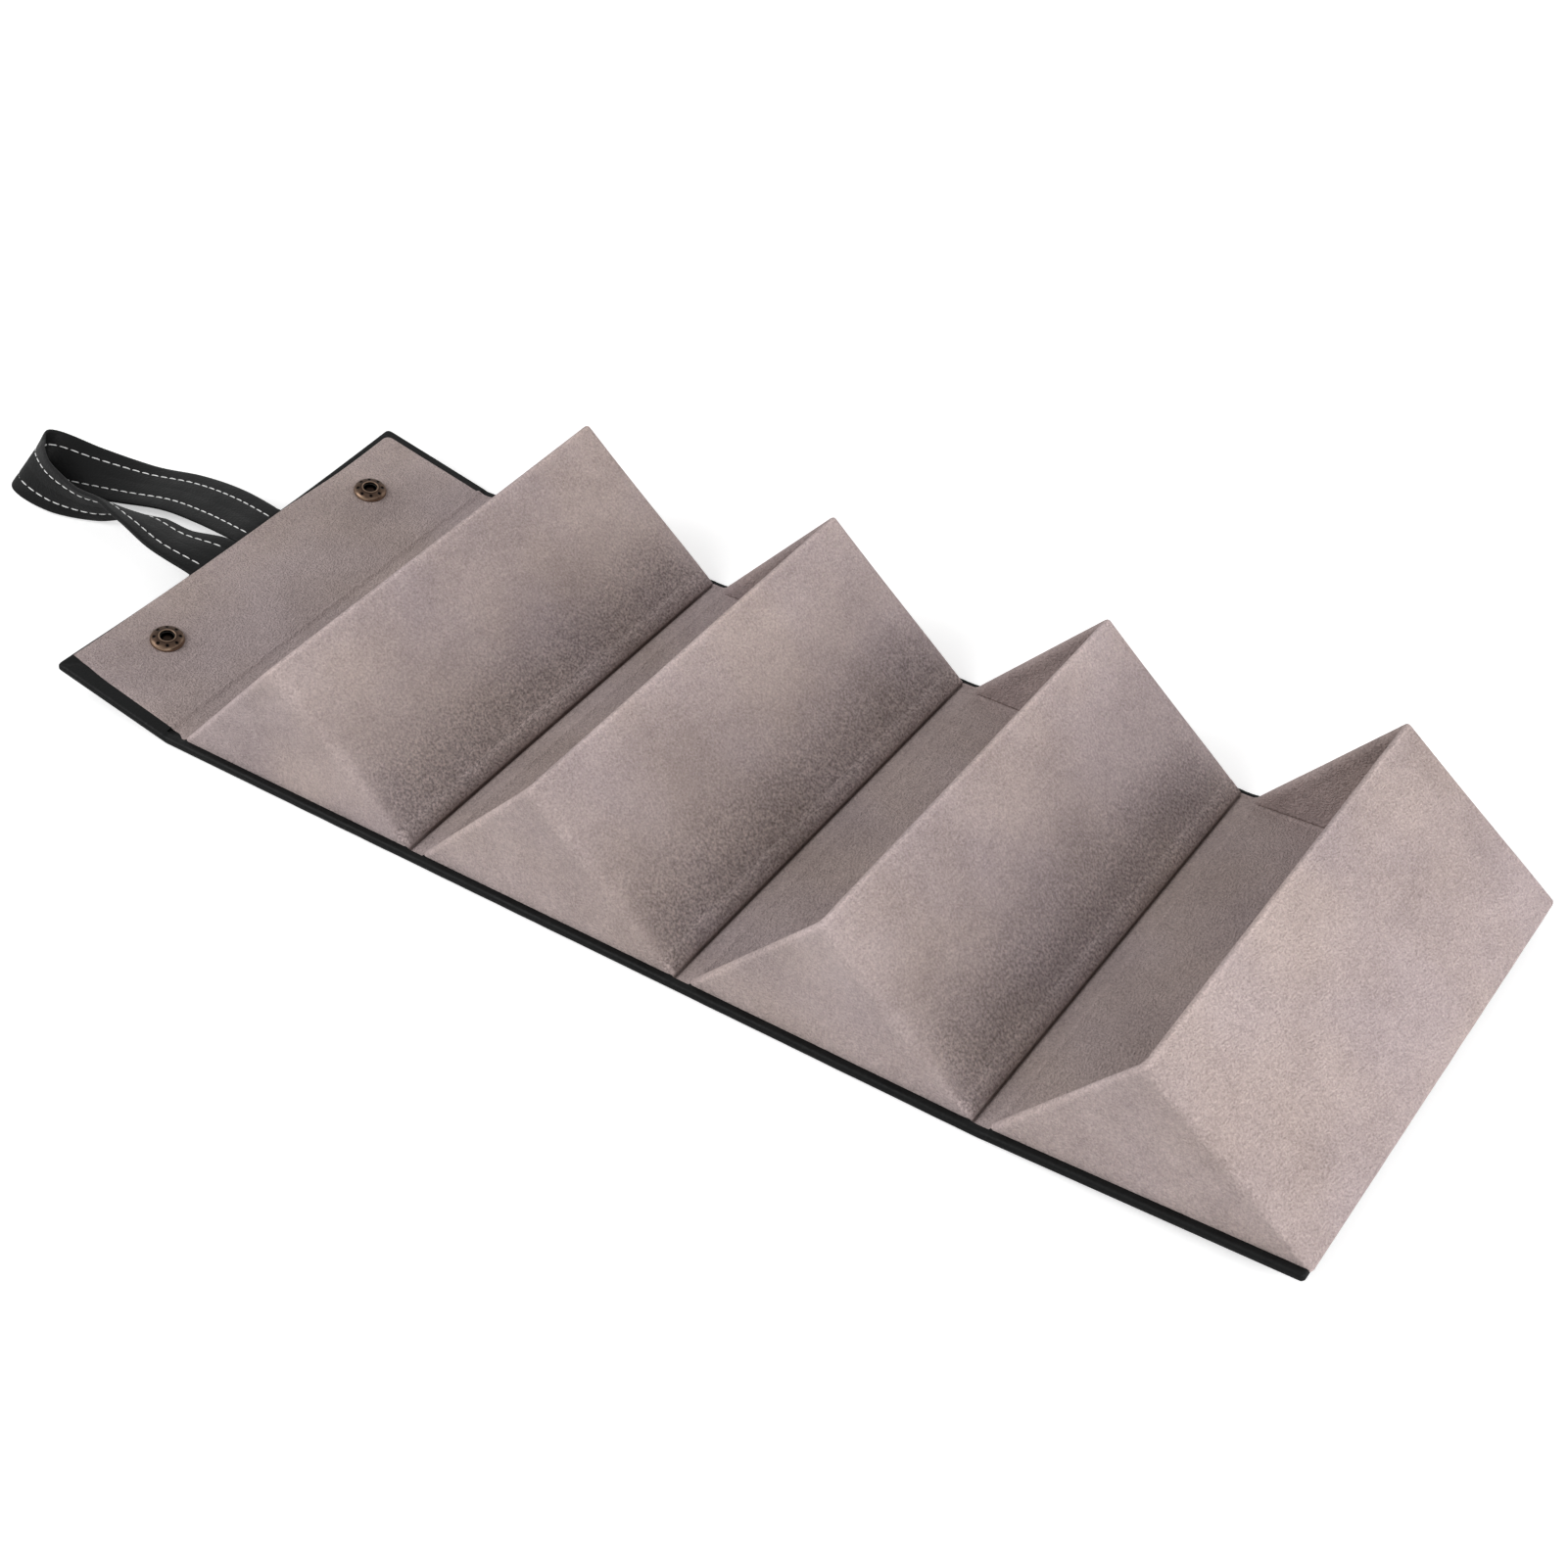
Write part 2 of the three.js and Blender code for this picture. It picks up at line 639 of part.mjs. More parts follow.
// A band that bends and twists along its route, with round ends that turn against the flap's edge
function strapGeometry(root) {
  const half = strapWidth / 2;
  const legOffset = half + foldSlit;
  const ends = [
    { point: new THREE.Vector3(root.x, legOffset, root.z), upper: new THREE.Vector3(0, 1, 0) },
    { point: new THREE.Vector3(root.x, -legOffset, root.z), upper: new THREE.Vector3(0, -1, 0) },
  ];
  const between = strapRoute.map(({ away, across, height, upper }) => ({
    point: new THREE.Vector3(root.x - away, across, height),
    upper: new THREE.Vector3(...upper).normalize(),
  }));
  const stations = [ends[0], ...between, ends[1]];
  const middle = new THREE.CatmullRomCurve3(stations.map(({ point }) => point));
  const edge = new THREE.CatmullRomCurve3(
    stations.map(({ point, upper }) => point.clone().addScaledVector(upper, half)),
  );

  const rows = [];
  const nose = strapThickness / 2;
  const addRow = (at, thickness, shift) => {
    const tangent = middle.getTangent(at);
    const centre = middle.getPoint(at);
    const upper = edge.getPoint(at).sub(centre).normalize();
    const normal = new THREE.Vector3().crossVectors(tangent, upper).normalize();
    centre.addScaledVector(tangent, shift);
    rows.push({ centre, upper, normal, thickness });
  };
  const noseAngles = Array.from({ length: edgeSegments - 1 }, (_, step) => (
    ((step + 1) / edgeSegments) * (Math.PI / 2)
  ));
  noseAngles.forEach((angle) => addRow(0, nose * Math.sin(angle), -nose * Math.cos(angle)));
  for (let step = 0; step <= strapSteps; step += 1) {
    addRow(step / strapSteps, nose, 0);
  }
  noseAngles.reverse().forEach((angle) => addRow(1, nose * Math.sin(angle), nose * Math.cos(angle)));

  const section = [[1, 0], [1, 1], [-1, 1], [-1, 0], [-1, -1], [1, -1]];
  const positions = [];
  const index = [];
  const corners = section.length;
  for (const { centre, upper, normal, thickness } of rows) {
    for (const [side, face] of section) {
      const reach = side * (face === 0 ? half : half - strapEdgeBevel);
      const corner = centre.clone().addScaledVector(upper, reach).addScaledVector(normal, face * thickness);
      positions.push(corner.x, corner.y, corner.z);
    }
  }
  for (let row = 0; row + 1 < rows.length; row += 1) {
    for (let corner = 0; corner < corners; corner += 1) {
      const next = (corner + 1) % corners;
      const a = row * corners + corner;
      const b = row * corners + next;
      index.push(a, b, a + corners, b, b + corners, a + corners);
    }
  }
  const finish = (rows.length - 1) * corners;
  for (let corner = 1; corner + 1 < corners; corner += 1) {
    index.push(0, corner + 1, corner);
    index.push(finish, finish + corner, finish + corner + 1);
  }
  const geometry = new THREE.BufferGeometry();
  geometry.setAttribute('position', new THREE.Float32BufferAttribute(positions, 3));
  geometry.setIndex(index);
  return geometry;
}

// The case as it lies open: pockets in a row, the last one leaning up on its studs, the flap a little raised
const sunglassesCase = new THREE.Group();
const firstEdge = -pocketLength / 2;
for (let number = 1; number <= pocketCount; number += 1) {
  const fold = new THREE.Group();
  const panel = pocket(number);
  fold.position.set(firstEdge + (number - 1) * pocketPitch - hingeGap / 2, 0, foldHeight);
  fold.rotation.y = number === pocketCount ? -lastTilt : 0;
  panel.position.set(hingeGap / 2, 0, -foldHeight);
  fold.add(panel);
  sunglassesCase.add(fold);
}

const flapFold = new THREE.Group();
const flapPanel = flap();
flapFold.position.set(firstEdge - flapFoldOffset, 0, foldHeight);
flapFold.rotation.y = flapAngle;
flapPanel.position.z = -foldHeight;
flapFold.add(flapPanel);
sunglassesCase.add(flapFold);

// The strap hangs from the middle of the flap's outer edge
const strapGap = flapReach + clearance + strapThickness / 2;
const strapLevel = (boardBottom + boardTop) / 2 - foldHeight;
const strapRoot = new THREE.Vector3(-strapGap, 0, strapLevel)
  .applyAxisAngle(Y, flapAngle)
  .add(flapFold.position);
sunglassesCase.add(piece('strap', strapGeometry(strapRoot), 'leather'));

export default sunglassesCase;
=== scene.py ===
import json
import math

import bmesh
import bpy
from mathutils import Matrix, Vector, noise


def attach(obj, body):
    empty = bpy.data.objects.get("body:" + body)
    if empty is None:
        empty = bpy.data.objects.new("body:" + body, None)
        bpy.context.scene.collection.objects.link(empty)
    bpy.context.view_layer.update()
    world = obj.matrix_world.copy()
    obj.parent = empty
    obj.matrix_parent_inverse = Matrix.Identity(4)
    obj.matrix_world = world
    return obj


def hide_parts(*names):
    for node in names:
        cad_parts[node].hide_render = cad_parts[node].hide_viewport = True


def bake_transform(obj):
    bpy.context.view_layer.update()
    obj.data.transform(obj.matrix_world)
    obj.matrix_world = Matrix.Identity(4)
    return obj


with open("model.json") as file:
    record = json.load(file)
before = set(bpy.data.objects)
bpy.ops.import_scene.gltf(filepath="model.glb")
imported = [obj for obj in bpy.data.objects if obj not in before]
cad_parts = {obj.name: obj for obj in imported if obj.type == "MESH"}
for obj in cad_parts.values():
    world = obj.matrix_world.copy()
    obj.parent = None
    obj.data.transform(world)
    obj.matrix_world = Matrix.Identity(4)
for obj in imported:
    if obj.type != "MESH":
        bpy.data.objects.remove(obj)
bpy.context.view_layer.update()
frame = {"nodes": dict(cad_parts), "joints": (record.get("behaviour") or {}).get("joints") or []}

# Sizes are millimetres in a panel's frame: along it from its fold, across the case, up from its underside.
# A pair such as CORNER_OPENS gives where a change starts and how far it runs.
# A wave such as EDGE_WAVE has a height, rates along and across, and a seed.
MM = 0.001

# Sheets and boards
LEATHER = 0.7
SUEDE = 0.4
SLAB = 2.8
NOSE = SLAB / 2

# Pockets
POCKET_COUNT = 4
POCKET_LENGTH = 104.0
HALF_POCKET = 87.0
RIDGE_HEIGHT = 52.5
RIDGE_OFFSET = 50.5
SEAT = 3.7
SHELL_BOTTOM = 3.35
MOUTH_LEAN = 0.00998
HINGE_GAP = 6.8
HALF_GAP = HINGE_GAP / 2
FOLD_HEIGHT = 1.4

# Direction of the wall's slope, from its foot to the ridge, in the pocket's length and height
WALL_LENGTH = math.hypot(POCKET_LENGTH - RIDGE_OFFSET, RIDGE_HEIGHT)
SLOPE_X = (RIDGE_OFFSET - POCKET_LENGTH) / WALL_LENGTH
SLOPE_Z = RIDGE_HEIGHT / WALL_LENGTH

# Rounding between a wall and its gussets, and how far the skin swells and shifts outward there
CORNER_RADIUS = 4.0
CORNER_START = HALF_POCKET - CORNER_RADIUS
CORNER_OPENS = (7.0, 25.0)
CORNER_LAST = 0.93
FAR_RADIUS = 1.8
FOOT_RADIUS = 1.6
INNER_RADIUS = 1.2
NEAR_SWELL = 1.3
NEAR_SWELL_RISE = 26.0
FAR_SWELL = 0.7
FAR_SWELL_RISE = 45.0
FAR_SHIFT = 0.55
FAR_SHIFT_INSIDE = 0.1
FAR_SIDE = (60.0, 22.0)

# Unevenness of a pocket's skin, whose waves have a height, rates across, up and down, and a seed
RAGGED_FOOT = [(0.16, 0.35, 1.0, 1.0), (0.12, 1.1, 1.0, 6.0)]
RAGGED_RUN = 6.0
SKIN_WAVES = [(0.26, 0.022, 0.03, 0.02, 0.0), (0.1, 0.09, 0.05, 0.09, 9.0)]
SKIN_SEED = 3.7
QUIET_FOOT = (6.0, 12.0)
CALM_CORNER = (CORNER_RADIUS, 14.0)
CALM_FLOOR = 10.0

# Rim of a pocket: way up from the start of its rounding, how much thicker it is inside, and its tone, which
# paints a highlight along the rim
RIM = [(-2.9, 0.1, 0.0), (-1.8, 0.2, 0.0), (-0.8, 0.16, -0.1), (0.0, 0.12, -0.5)]
RIM_HEM = 3.6
RIM_PAINTED_HIGHLIGHT = -0.9
RIM_STEPS = 7

# Painted light and shade of the grain at the foot of a wall: how it fades going up, and towards the gussets
PAINTED_GRAIN_RISE = (8.0, 34.0)
PAINTED_GRAIN_ENDS = (80.0, 6.0)

# How finely a pocket's skin is divided
GUSSET_STEPS = 26
ARC_STEPS = 8
WALL_STEPS = 56
FOOT_ZONE = 12.0
FOOT_STEPS = 12
FOOT_GROWTH = 1.6
RISE_STEPS = 22

# Cover and its turned edges
HALF_COVER = 89.4
FLAT_HALF = 80.0
HEM_TOP = 3.4
HEM_REACH = 5.5
EDGE_ROUND = 1.3
EDGE_SHARE = 0.48
EDGE_STEPS = 5
THINNEST = 0.05
NEAR_LEATHER = 1.8
NEAR_LEATHER_SIDE = (FLAT_HALF, 7.0)
EDGE_WAVE = (0.18, 0.06, 3.0, 7.0)
EDGE_WAVE_SIDE = (FLAT_HALF, 9.0)
EDGE_WAVE_END = 8.0
PANEL_STEPS = 40

# Bead along the cover's edge: where it starts, how it rises and how it sinks at a fold
BEAD_START = 86.4
BEAD_LEAD = 0.3
NEAR_RISE = [(0.0, 0.75), (0.35, 0.95)]
FAR_RISE = [(0.2, 0.55), (0.95, 0.8)]
STRIP_TOP = 1.55
STRIP_BEAD = 3.25
STRIP_BEAD_RUN = 1.9
STRIP_STARTS = (0.03, 0.2)
STRIP_STEPS = 26

# Mitred corners of the covers of the end panels
MITRE_RUNS = (3.0, 1.2)
MITRE_SHARE = 0.4
MITRE_SINK = 0.3
MITRE_UNDER = 0.6
MITRE_STEPS = 6
TRAY_STEPS = 12
TRAY_END_STEPS = 20
PLATE_REACH = 3.0
INNER_BEVEL = (0.6, 0.5)
CUT_SIDE = (78.0, 10.0)
END_SETBACK = 0.6
END_SPAN = (0.0, POCKET_LENGTH - END_SETBACK)
END_CORNER = 1.5
END_BOWS = (0.0, 0.0)
END_CUT = 3.0

# Flap
FLAP_FOLD_OFFSET = 7.5
FLAP_BOARD_START = 1.9
FLAP_REACH = 52.0
FLAP_WAIST = 1.3
FLAP_SPAN = (-FLAP_BOARD_START, -FLAP_REACH + FLAP_WAIST)
FLAP_BOWS = (2.3, 1.6)
FLAP_CORNER = 1.6
FLAP_HEM = 7.0
FLAP_SEAT = 2.65

# Floor lining, which climbs over the hems at its sides and at the free end
FLOOR_TOP = 3.1
FLOOR_START = 2.0
FLOOR_END = 101.8
FLOOR_EDGE = [84.5, 84.1, 83.7, 83.3, 82.9, 82.5, 82.1, 81.6]
FLOOR_OVER_HEM = 0.14
FLOOR_SIDE_CLIMB = (82.0, 1.6)
FLOOR_END_CLIMB = (93.5, 2.6)
FLOOR_WAVE = (0.1, 0.05, 0.05, 5.0)
FLOOR_WAVE_START = (FLOOR_START, 6.0)
FLOOR_WAVE_SIDE = (FLAT_HALF, 3.0)
# Painted shade along the floor's sides where it meets the gussets: its strength, and where it starts and how
# far it runs
FLOOR_PAINTED_SHADE = 0.8
FLOOR_PAINTED_SHADE_SIDE = (83.3, 0.8)
FLOOR_COLUMNS = 36
FLOOR_ROWS = 40

# Shares of a fold's half width at which its lining is drawn: close together at its end, then even steps
ACROSS_ENDS = [
    -1.0, -0.996, -0.992, -0.988, -0.984, -0.98, -0.975, -0.97, -0.964, -0.957, -0.95, -0.942, -0.932,
]
ACROSS_EVEN = 0.92
ACROSS_STEPS = 44

# Roll of suede at a wall's foot: way up the wall, how far off it, and painted shade that darkens it towards
# the crease
ROLL = [
    (7.4, -0.25, 0.0), (6.9, -0.12, 0.2), (6.5, 0.0, 0.2), (6.2, 0.12, 0.05), (5.8, 0.25, 0.0),
    (5.4, 0.36, 0.0), (4.8, 0.47, 0.0), (4.1, 0.54, 0.0), (3.4, 0.56, 0.02), (2.7, 0.55, 0.05),
    (2.0, 0.51, 0.1), (1.4, 0.46, 0.17), (0.8, 0.4, 0.26), (0.3, 0.34, 0.38),
]

# Section of a fold's lining past the roll: length and height in the pocket before it, and painted shade,
# dark in the crease and negative for a painted highlight on the ridge of the ramp
FOLD_TOP = [
    (104.4, 3.62, 0.5), (104.46, 3.5, 0.6), (104.48, 3.2, 0.78), (104.38, 2.85, 0.9), (104.2, 2.45, 0.95),
    (104.14, 2.1, 0.95), (104.14, 1.86, 0.95), (104.24, 1.66, 0.95), (104.42, 1.6, 0.95),
    (104.58, 1.66, 0.95), (104.68, 1.82, 0.9), (104.76, 2.02, 0.78), (104.92, 2.2, 0.5),
    (105.35, 2.32, 0.2), (106.0, 2.37, 0.05), (106.8, 2.39, 0.0), (107.8, 2.4, 0.0),
    (108.8, 2.44, 0.0), (109.4, 2.56, 0.0), (109.9, 2.76, 0.02),
    (110.3, 2.96, 0.03), (110.65, 3.14, 0.0), (110.95, 3.25, 0.0), (111.3, 3.3, -0.3), (111.7, 3.29, -0.3),
    (112.1, 3.24, -0.1), (112.5, 3.18, 0.0), (113.0, 3.12, 0.0), (113.6, 3.02, 0.0),
]
CREASE_END = 104.6
CREASE_LOW = 1.0
# How the crease's painted shade fades towards the ends of a fold
CREASE_SHADE_FADE = 0.45
CREASE_SHADE_FADE_ENDS = (0.82, 0.16)

# How a fold's lining lies across the case: its edges near and far, and where it climbs over the hems
FOLD_EDGES = (88.5, 87.35)
FOLD_INSIDE = 84.4
FOLD_NARROWS = (110.8, 0.9)
FOLD_OVER_STRIP = 0.35
FOLD_STRIP_CLIMB = (83.2, 0.6)
FOLD_RIM = 3.5
FOLD_RIM_START = (109.3, 1.2)
FOLD_RIM_CLIMB = (82.3, 1.5)
FAR_RIM = 2.98
FAR_RIM_CLIMB = (85.9, 0.9)
FOLD_WAVE = (0.16, 9.0, 40.0, 2.0)
RIPPLE = 0.4
RIPPLE_START = (105.4, 0.8)
RIPPLE_END = (109.8, 2.6)

# Suede turned under at the free end: way up the wall and off it, then length and height round the edge
END_WRAP = [(4.0, -0.3), (3.2, -0.04), (2.0, 0.04), (0.8, 0.06)]
END_TURN = [
    (104.1, 3.5), (104.3, 3.0), (104.3, 2.4), (104.15, 1.85), (103.85, 1.4), (103.4, 1.12), (102.9, 1.05),
]
END_INSIDE = 102.5
END_WAVE = (0.075, 9.0, 3.0, 5.0)

# Lining of the flap's fold: way along from the fold and height, its half widths and its unevenness
FLAP_STRIP = [
    (-3.0, 3.45), (-2.75, 3.56), (-2.5, 3.64), (-2.2, 3.69), (-1.9, 3.7), (-1.5, 3.66), (-1.0, 3.56),
    (-0.3, 3.42), (0.6, 3.28), (1.8, 3.16), (3.0, 3.08), (4.2, 3.02), (5.2, 2.98), (6.0, 2.96), (6.6, 2.97),
    (7.1, 3.02), (7.5, 3.07), (7.8, 3.11), (8.2, 3.14), (8.7, 3.06),
]
FLAP_STRIP_LOW = 0.8
FLAP_STRIP_THICK = 0.42
FLAP_STRIP_HALF = 86.2
FLAP_STRIP_WIDE = 87.2
FLAP_STRIP_WIDENS = (2.0, 5.0)
FLAP_STRIP_NARROWS = (6.4, 1.3)
FLAP_STRIP_RISE = (83.0, 3.4)
FLAP_STRIP_START = (-1.6, 1.6)
FLAP_STRIP_END = (6.6, 1.6)
FLAP_STRIP_WAVE = (0.1, 8.0, 1.0, 8.0)

# Lining of the flap: set back from the cover's edge, and its layers as inset and height
LINING_START = -2.6
LINING_SET_BACK = 0.7
LINING_FAR_BACK = 2.0
LINING_FAR_SIDE = (18.0, 45.0)
LINING_NEAR_BACK = 0.4
LINING_NEAR_SIDE = (50.0, 30.0)
LINING_FAR_HALF = 85.7
LINING_NEAR_HALF = 86.2
LINING_TAPER = 0.9
LINING_TUCK = 1.0
LINING_TUCK_START = (0.6, 0.4)
LINING_CORNERS = ((-1.0, 0.5), (1.0, 2.8))
LINING_CORNER_LEAST = 0.2
LINING_LAYERS = [
    (0.35, 2.9), (0.05, 3.1), (0.0, 3.3), (0.08, 3.48), (0.3, 3.58), (0.8, 3.6), (4.0, 3.6), (9.0, 3.6),
]
LINING_WAVE = (0.12, 0.12, 0.12, 4.0)
LINING_WAVE_RUN = 6.0
LINING_SIDE_STEPS = 24
LINING_ARC_STEPS = 8
LINING_END_STEPS = 40

# Snaps: their places, and profiles of radius, height and wear, where the negative wear inside a socket's
# hole is painted shade that blackens it
SNAP_ACROSS = 56.0
SOCKET_REACH = 32.8
SOCKET_BASE = 3.4
STUD_ALONG = 74.2
SOCKET_STEP = 0.16
SOCKET_SEGMENTS = 128
CAP_STEP = 0.5
STUD_STEP = 0.3
SNAP_SEGMENTS = 72
DIMPLES = 8
DIMPLE_CIRCLE = 4.7
DIMPLE_WIDTH = 0.46
DIMPLE_DEPTH = 0.55
DIMPLE_WEAR = 3.0
SOCKET_PROFILE = [
    (0.0, 0.25, -0.4), (2.6, 0.25, -0.4), (2.7, 2.0, -0.3), (2.74, 2.34, 0.25), (2.86, 2.52, 0.7),
    (3.05, 2.58, 0.8), (3.25, 2.52, 0.5), (3.4, 2.42, 0.2), (3.6, 2.37, 0.2), (4.0, 2.33, 0.36),
    (4.7, 2.21, 0.42), (5.25, 2.0, 0.42), (5.65, 1.78, 0.5), (6.0, 1.46, 0.62), (6.24, 1.1, 0.85),
    (6.38, 0.75, 1.0), (6.4, 0.45, 0.8), (6.3, 0.18, 0.3), (6.1, 0.0, 0.1), (0.0, 0.0, 0.0),
]
CAP_PROFILE = [
    (0.0, -1.5, 0.8), (2.0, -1.46, 0.75), (4.0, -1.24, 0.7), (5.2, -0.92, 0.75), (5.9, -0.55, 0.95),
    (6.3, -0.2, 1.0), (6.4, 0.0, 0.6), (1.6, 0.0, 0.1), (1.6, 4.1, 0.1), (0.0, 4.1, 0.1),
]
STUD_PROFILE = [
    (0.0, -3.9, 0.9), (1.1, -3.86, 0.95), (1.65, -3.55, 1.0), (1.9, -3.05, 0.9), (1.78, -2.6, 0.5),
    (1.52, -2.25, 0.2), (1.5, -1.3, 0.1), (1.8, -0.95, 0.2), (2.6, -0.8, 0.45), (4.0, -0.7, 0.6),
    (4.9, -0.6, 0.9), (5.2, -0.35, 1.0), (5.2, 0.0, 0.5), (0.0, 0.0, 0.1),
]

# Strap: its middle, the groove about a row of stitches and its edge, as way across and drop from the face
STRAP_HALF = 12.25
STRAP_THICK = 2.0
STRAP_SLIT = 0.15
STRAP_INSIDE = (14.0, 7.0, 0.0)
STRAP_STEPS = 14
STRAP_MIDDLE = [(0.0, 0.06), (0.5, 0.0)]
STRAP_GROOVE = [(-1.0, 0.0), (-0.45, 0.14), (0.0, 0.24), (0.45, 0.14), (1.0, 0.02)]
STRAP_EDGE = [(10.4, 0.02), (11.3, 0.12), (11.85, 0.38), (12.15, 0.7), (STRAP_HALF, STRAP_THICK / 2)]

# Stitches, whose shape is a list of shares along one, each with its fatness and lift
STITCH_ROW = 6.3
STITCH_LENGTH = 4.1
STITCH_GAP = 0.4
STITCH_RADIUS = 0.26
STITCH_FLATNESS = 0.8
STITCH_SUNK = 0.2
STITCH_MARGIN = 12.0
STITCH_SIDES = 8
STITCH_SHAPE = [
    (0.0, 0.25, -0.45), (0.1, 0.8, -0.12), (0.3, 1.0, 0.06),
    (0.7, 1.0, 0.06), (0.9, 0.8, -0.12), (1.0, 0.25, -0.45),
]

# Where the strap goes: away from the flap, across, height above the ground, and the way to its upper edge
STRAP_ROUTE = [
    (23.0, 16.5, 11.0, (0.0, 1.0, 0.07)),
    (46.0, 18.5, 7.6, (0.0, 1.0, 0.06)),
    (69.0, 15.8, 4.8, (-0.03, 1.0, 0.09)),
    (91.5, 10.0, 6.3, (0.02, 0.95, 0.31)),
    (107.0, 3.0, 10.9, (0.25, 0.77, 0.58)),
    (105.0, -6.8, 14.7, (0.26, 0.66, 0.70)),
    (88.5, -11.7, 13.3, (0.13, 0.13, 0.98)),
    (69.0, -11.6, 12.6, (0.10, -0.35, 0.93)),
    (51.5, -10.0, 15.4, (0.15, -0.64, 0.75)),
    (35.0, -12.0, 17.0, (0.13, -0.86, 0.49)),
    (17.5, -14.0, 15.4, (0.06, -0.96, 0.29)),
]

# Shading: angles in degrees past which an edge stays sharp, and distances in metres at which points merge
SHARP = 40.0
SHARP_SKIN = 50.0
SHARP_FOLD = 60.0
SHARP_STRAP = 70.0
MERGE = 2e-6
DEGENERATE = 1e-6

# Looks: noise as scale, detail, roughness and stretch; bumps as strength and distance
EVEN = (1.0, 1.0, 1.0)
WHITE = (1.0, 1.0, 1.0, 1.0)
SUEDE_NAP = (30.0, 3.0, 0.55, (1.0, 0.7, 1.0))
SUEDE_BRUSHED = (260.0, 2.0, 0.5, (1.0, 0.6, 1.0))
SUEDE_GRAIN = (1500.0, 1.5, 0.5, (1.0, 0.85, 1.0))
SUEDE_FIBRE = (2800.0, 2.0, 0.6, EVEN)
SUEDE_WARMTH = (19.0, 2.0, 0.5, EVEN)
# Painted light and shade of the grain, strong at the foot of a wall
SUEDE_PAINTED_GRAIN = (1050.0, 1.0, 0.5, EVEN)
SUEDE_WEIGHTS = (0.36, 0.1, 0.34, 0.2)
SUEDE_SHADES = [(0.34, (0.39, 0.312, 0.304)), (0.5, (0.569, 0.459, 0.448)), (0.66, (0.73, 0.598, 0.583))]
SUEDE_TINTS = [(0.36, (0.992, 1.0, 1.018)), (0.64, (1.008, 1.004, 0.966))]
# Painted light on suede from the tone marks: -1 paints a highlight, 0 keeps the colour at 0.8 of itself and
# 1 paints the dark shade of a crease
SUEDE_PAINTED_LIGHT_RAMP = [(0.0, EVEN), (0.5, (0.8, 0.8, 0.8)), (1.0, (0.24, 0.2, 0.176))]
SUEDE_PAINTED_LIGHT_LIMITS = {"From Min": -1.0, "From Max": 1.0}
# Limits of the painted grain light and shade, and of the foot marks that bring it in
SUEDE_PAINTED_GRAIN_LIMITS = {"From Min": 0.3, "From Max": 0.7, "To Min": 0.62, "To Max": 1.38}
SUEDE_FOOT_LIMITS = {"To Min": 0.3, "To Max": 1.0}
SUEDE_SURFACE = {
    "Roughness": 0.95,
    "Specular IOR Level": 0.12,
    "Sheen Weight": 0.15,
    "Sheen Roughness": 0.5,
    "Sheen Tint": (0.85, 0.78, 0.75, 1.0),
}
SUEDE_GRAIN_BUMP = (0.8, 0.0009)
SUEDE_FIBRE_BUMP = (0.5, 0.0003)
LEATHER_CELLS = {"Scale": 950.0, "Randomness": 1.0}
LEATHER_CREASES = (120.0, 4.0, 0.6, EVEN)
LEATHER_PORES = (2600.0, 2.0, 0.5, EVEN)
LEATHER_WEIGHTS = (0.6, 0.4)
LEATHER_SHADES = [(0.3, (0.004, 0.0042, 0.0043)), (0.7, (0.0085, 0.0088, 0.009))]
LEATHER_ROUGHNESS = [(0.3, (0.42, 0.42, 0.42)), (0.7, (0.58, 0.58, 0.58))]
LEATHER_SURFACE = {"Specular IOR Level": 0.11}
LEATHER_CREASE_BUMP = (0.2, 0.0006)
LEATHER_CELL_BUMP = (0.35, 0.00025)
BRASS_PATINA = (600.0, 4.0, 0.65, EVEN)
BRASS_WEIGHTS = (0.8, 0.35)
# The darkest brass shade is patina in the dimples, and painted shade inside a socket's hole
BRASS_SHADES = [(0.12, (0.004, 0.0033, 0.003)), (0.5, (0.068, 0.043, 0.031)), (1.0, (0.33, 0.228, 0.16))]
BRASS_ROUGHNESS = [(0.2, (0.55, 0.55, 0.55)), (0.9, (0.26, 0.26, 0.26))]
BRASS_BUMP = (0.12, 0.0001)
METAL_SURFACE = {"Metallic": 1.0}
WIRE_DRAWN = (900.0, 3.0, 0.5, EVEN)
# Near-black wire: partly a dark finish, partly painted shade for the inside of a socket's hole
WIRE_SHADES = [(0.3, (0.03, 0.027, 0.024)), (0.7, (0.07, 0.064, 0.058))]
WIRE_ROUGHNESS = [(0.3, (0.28, 0.28, 0.28)), (0.7, (0.4, 0.4, 0.4))]
BOARD_FLECKS = (1300.0, 4.0, 0.7, EVEN)
BOARD_CLOUDS = (90.0, 2.0, 0.5, EVEN)
BOARD_WEIGHTS = (0.6, 0.4)
BOARD_SHADES = [(0.35, (0.2, 0.19, 0.175)), (0.65, (0.33, 0.32, 0.3))]
BOARD_SURFACE = {"Roughness": 0.95}
BOARD_BUMP = (0.3, 0.0002)
THREAD_TWIST = (2200.0, 2.0, 0.5, (1.0, 0.3, 1.0))
THREAD_SHADES = [(0.3, (0.84, 0.84, 0.83)), (0.7, (0.97, 0.97, 0.96))]
THREAD_SURFACE = {"Roughness": 0.6, "Sheen Weight": 0.2}
THREAD_BUMP = (0.4, 0.0002)

# Entries of a mixing node: its share, its two numbers, its two colours, and its outgoing colour
MIX_SHARE = 0
MIX_NUMBERS = (2, 3)
MIX_COLOURS = (6, 7)
MIX_COLOUR_OUT = 2

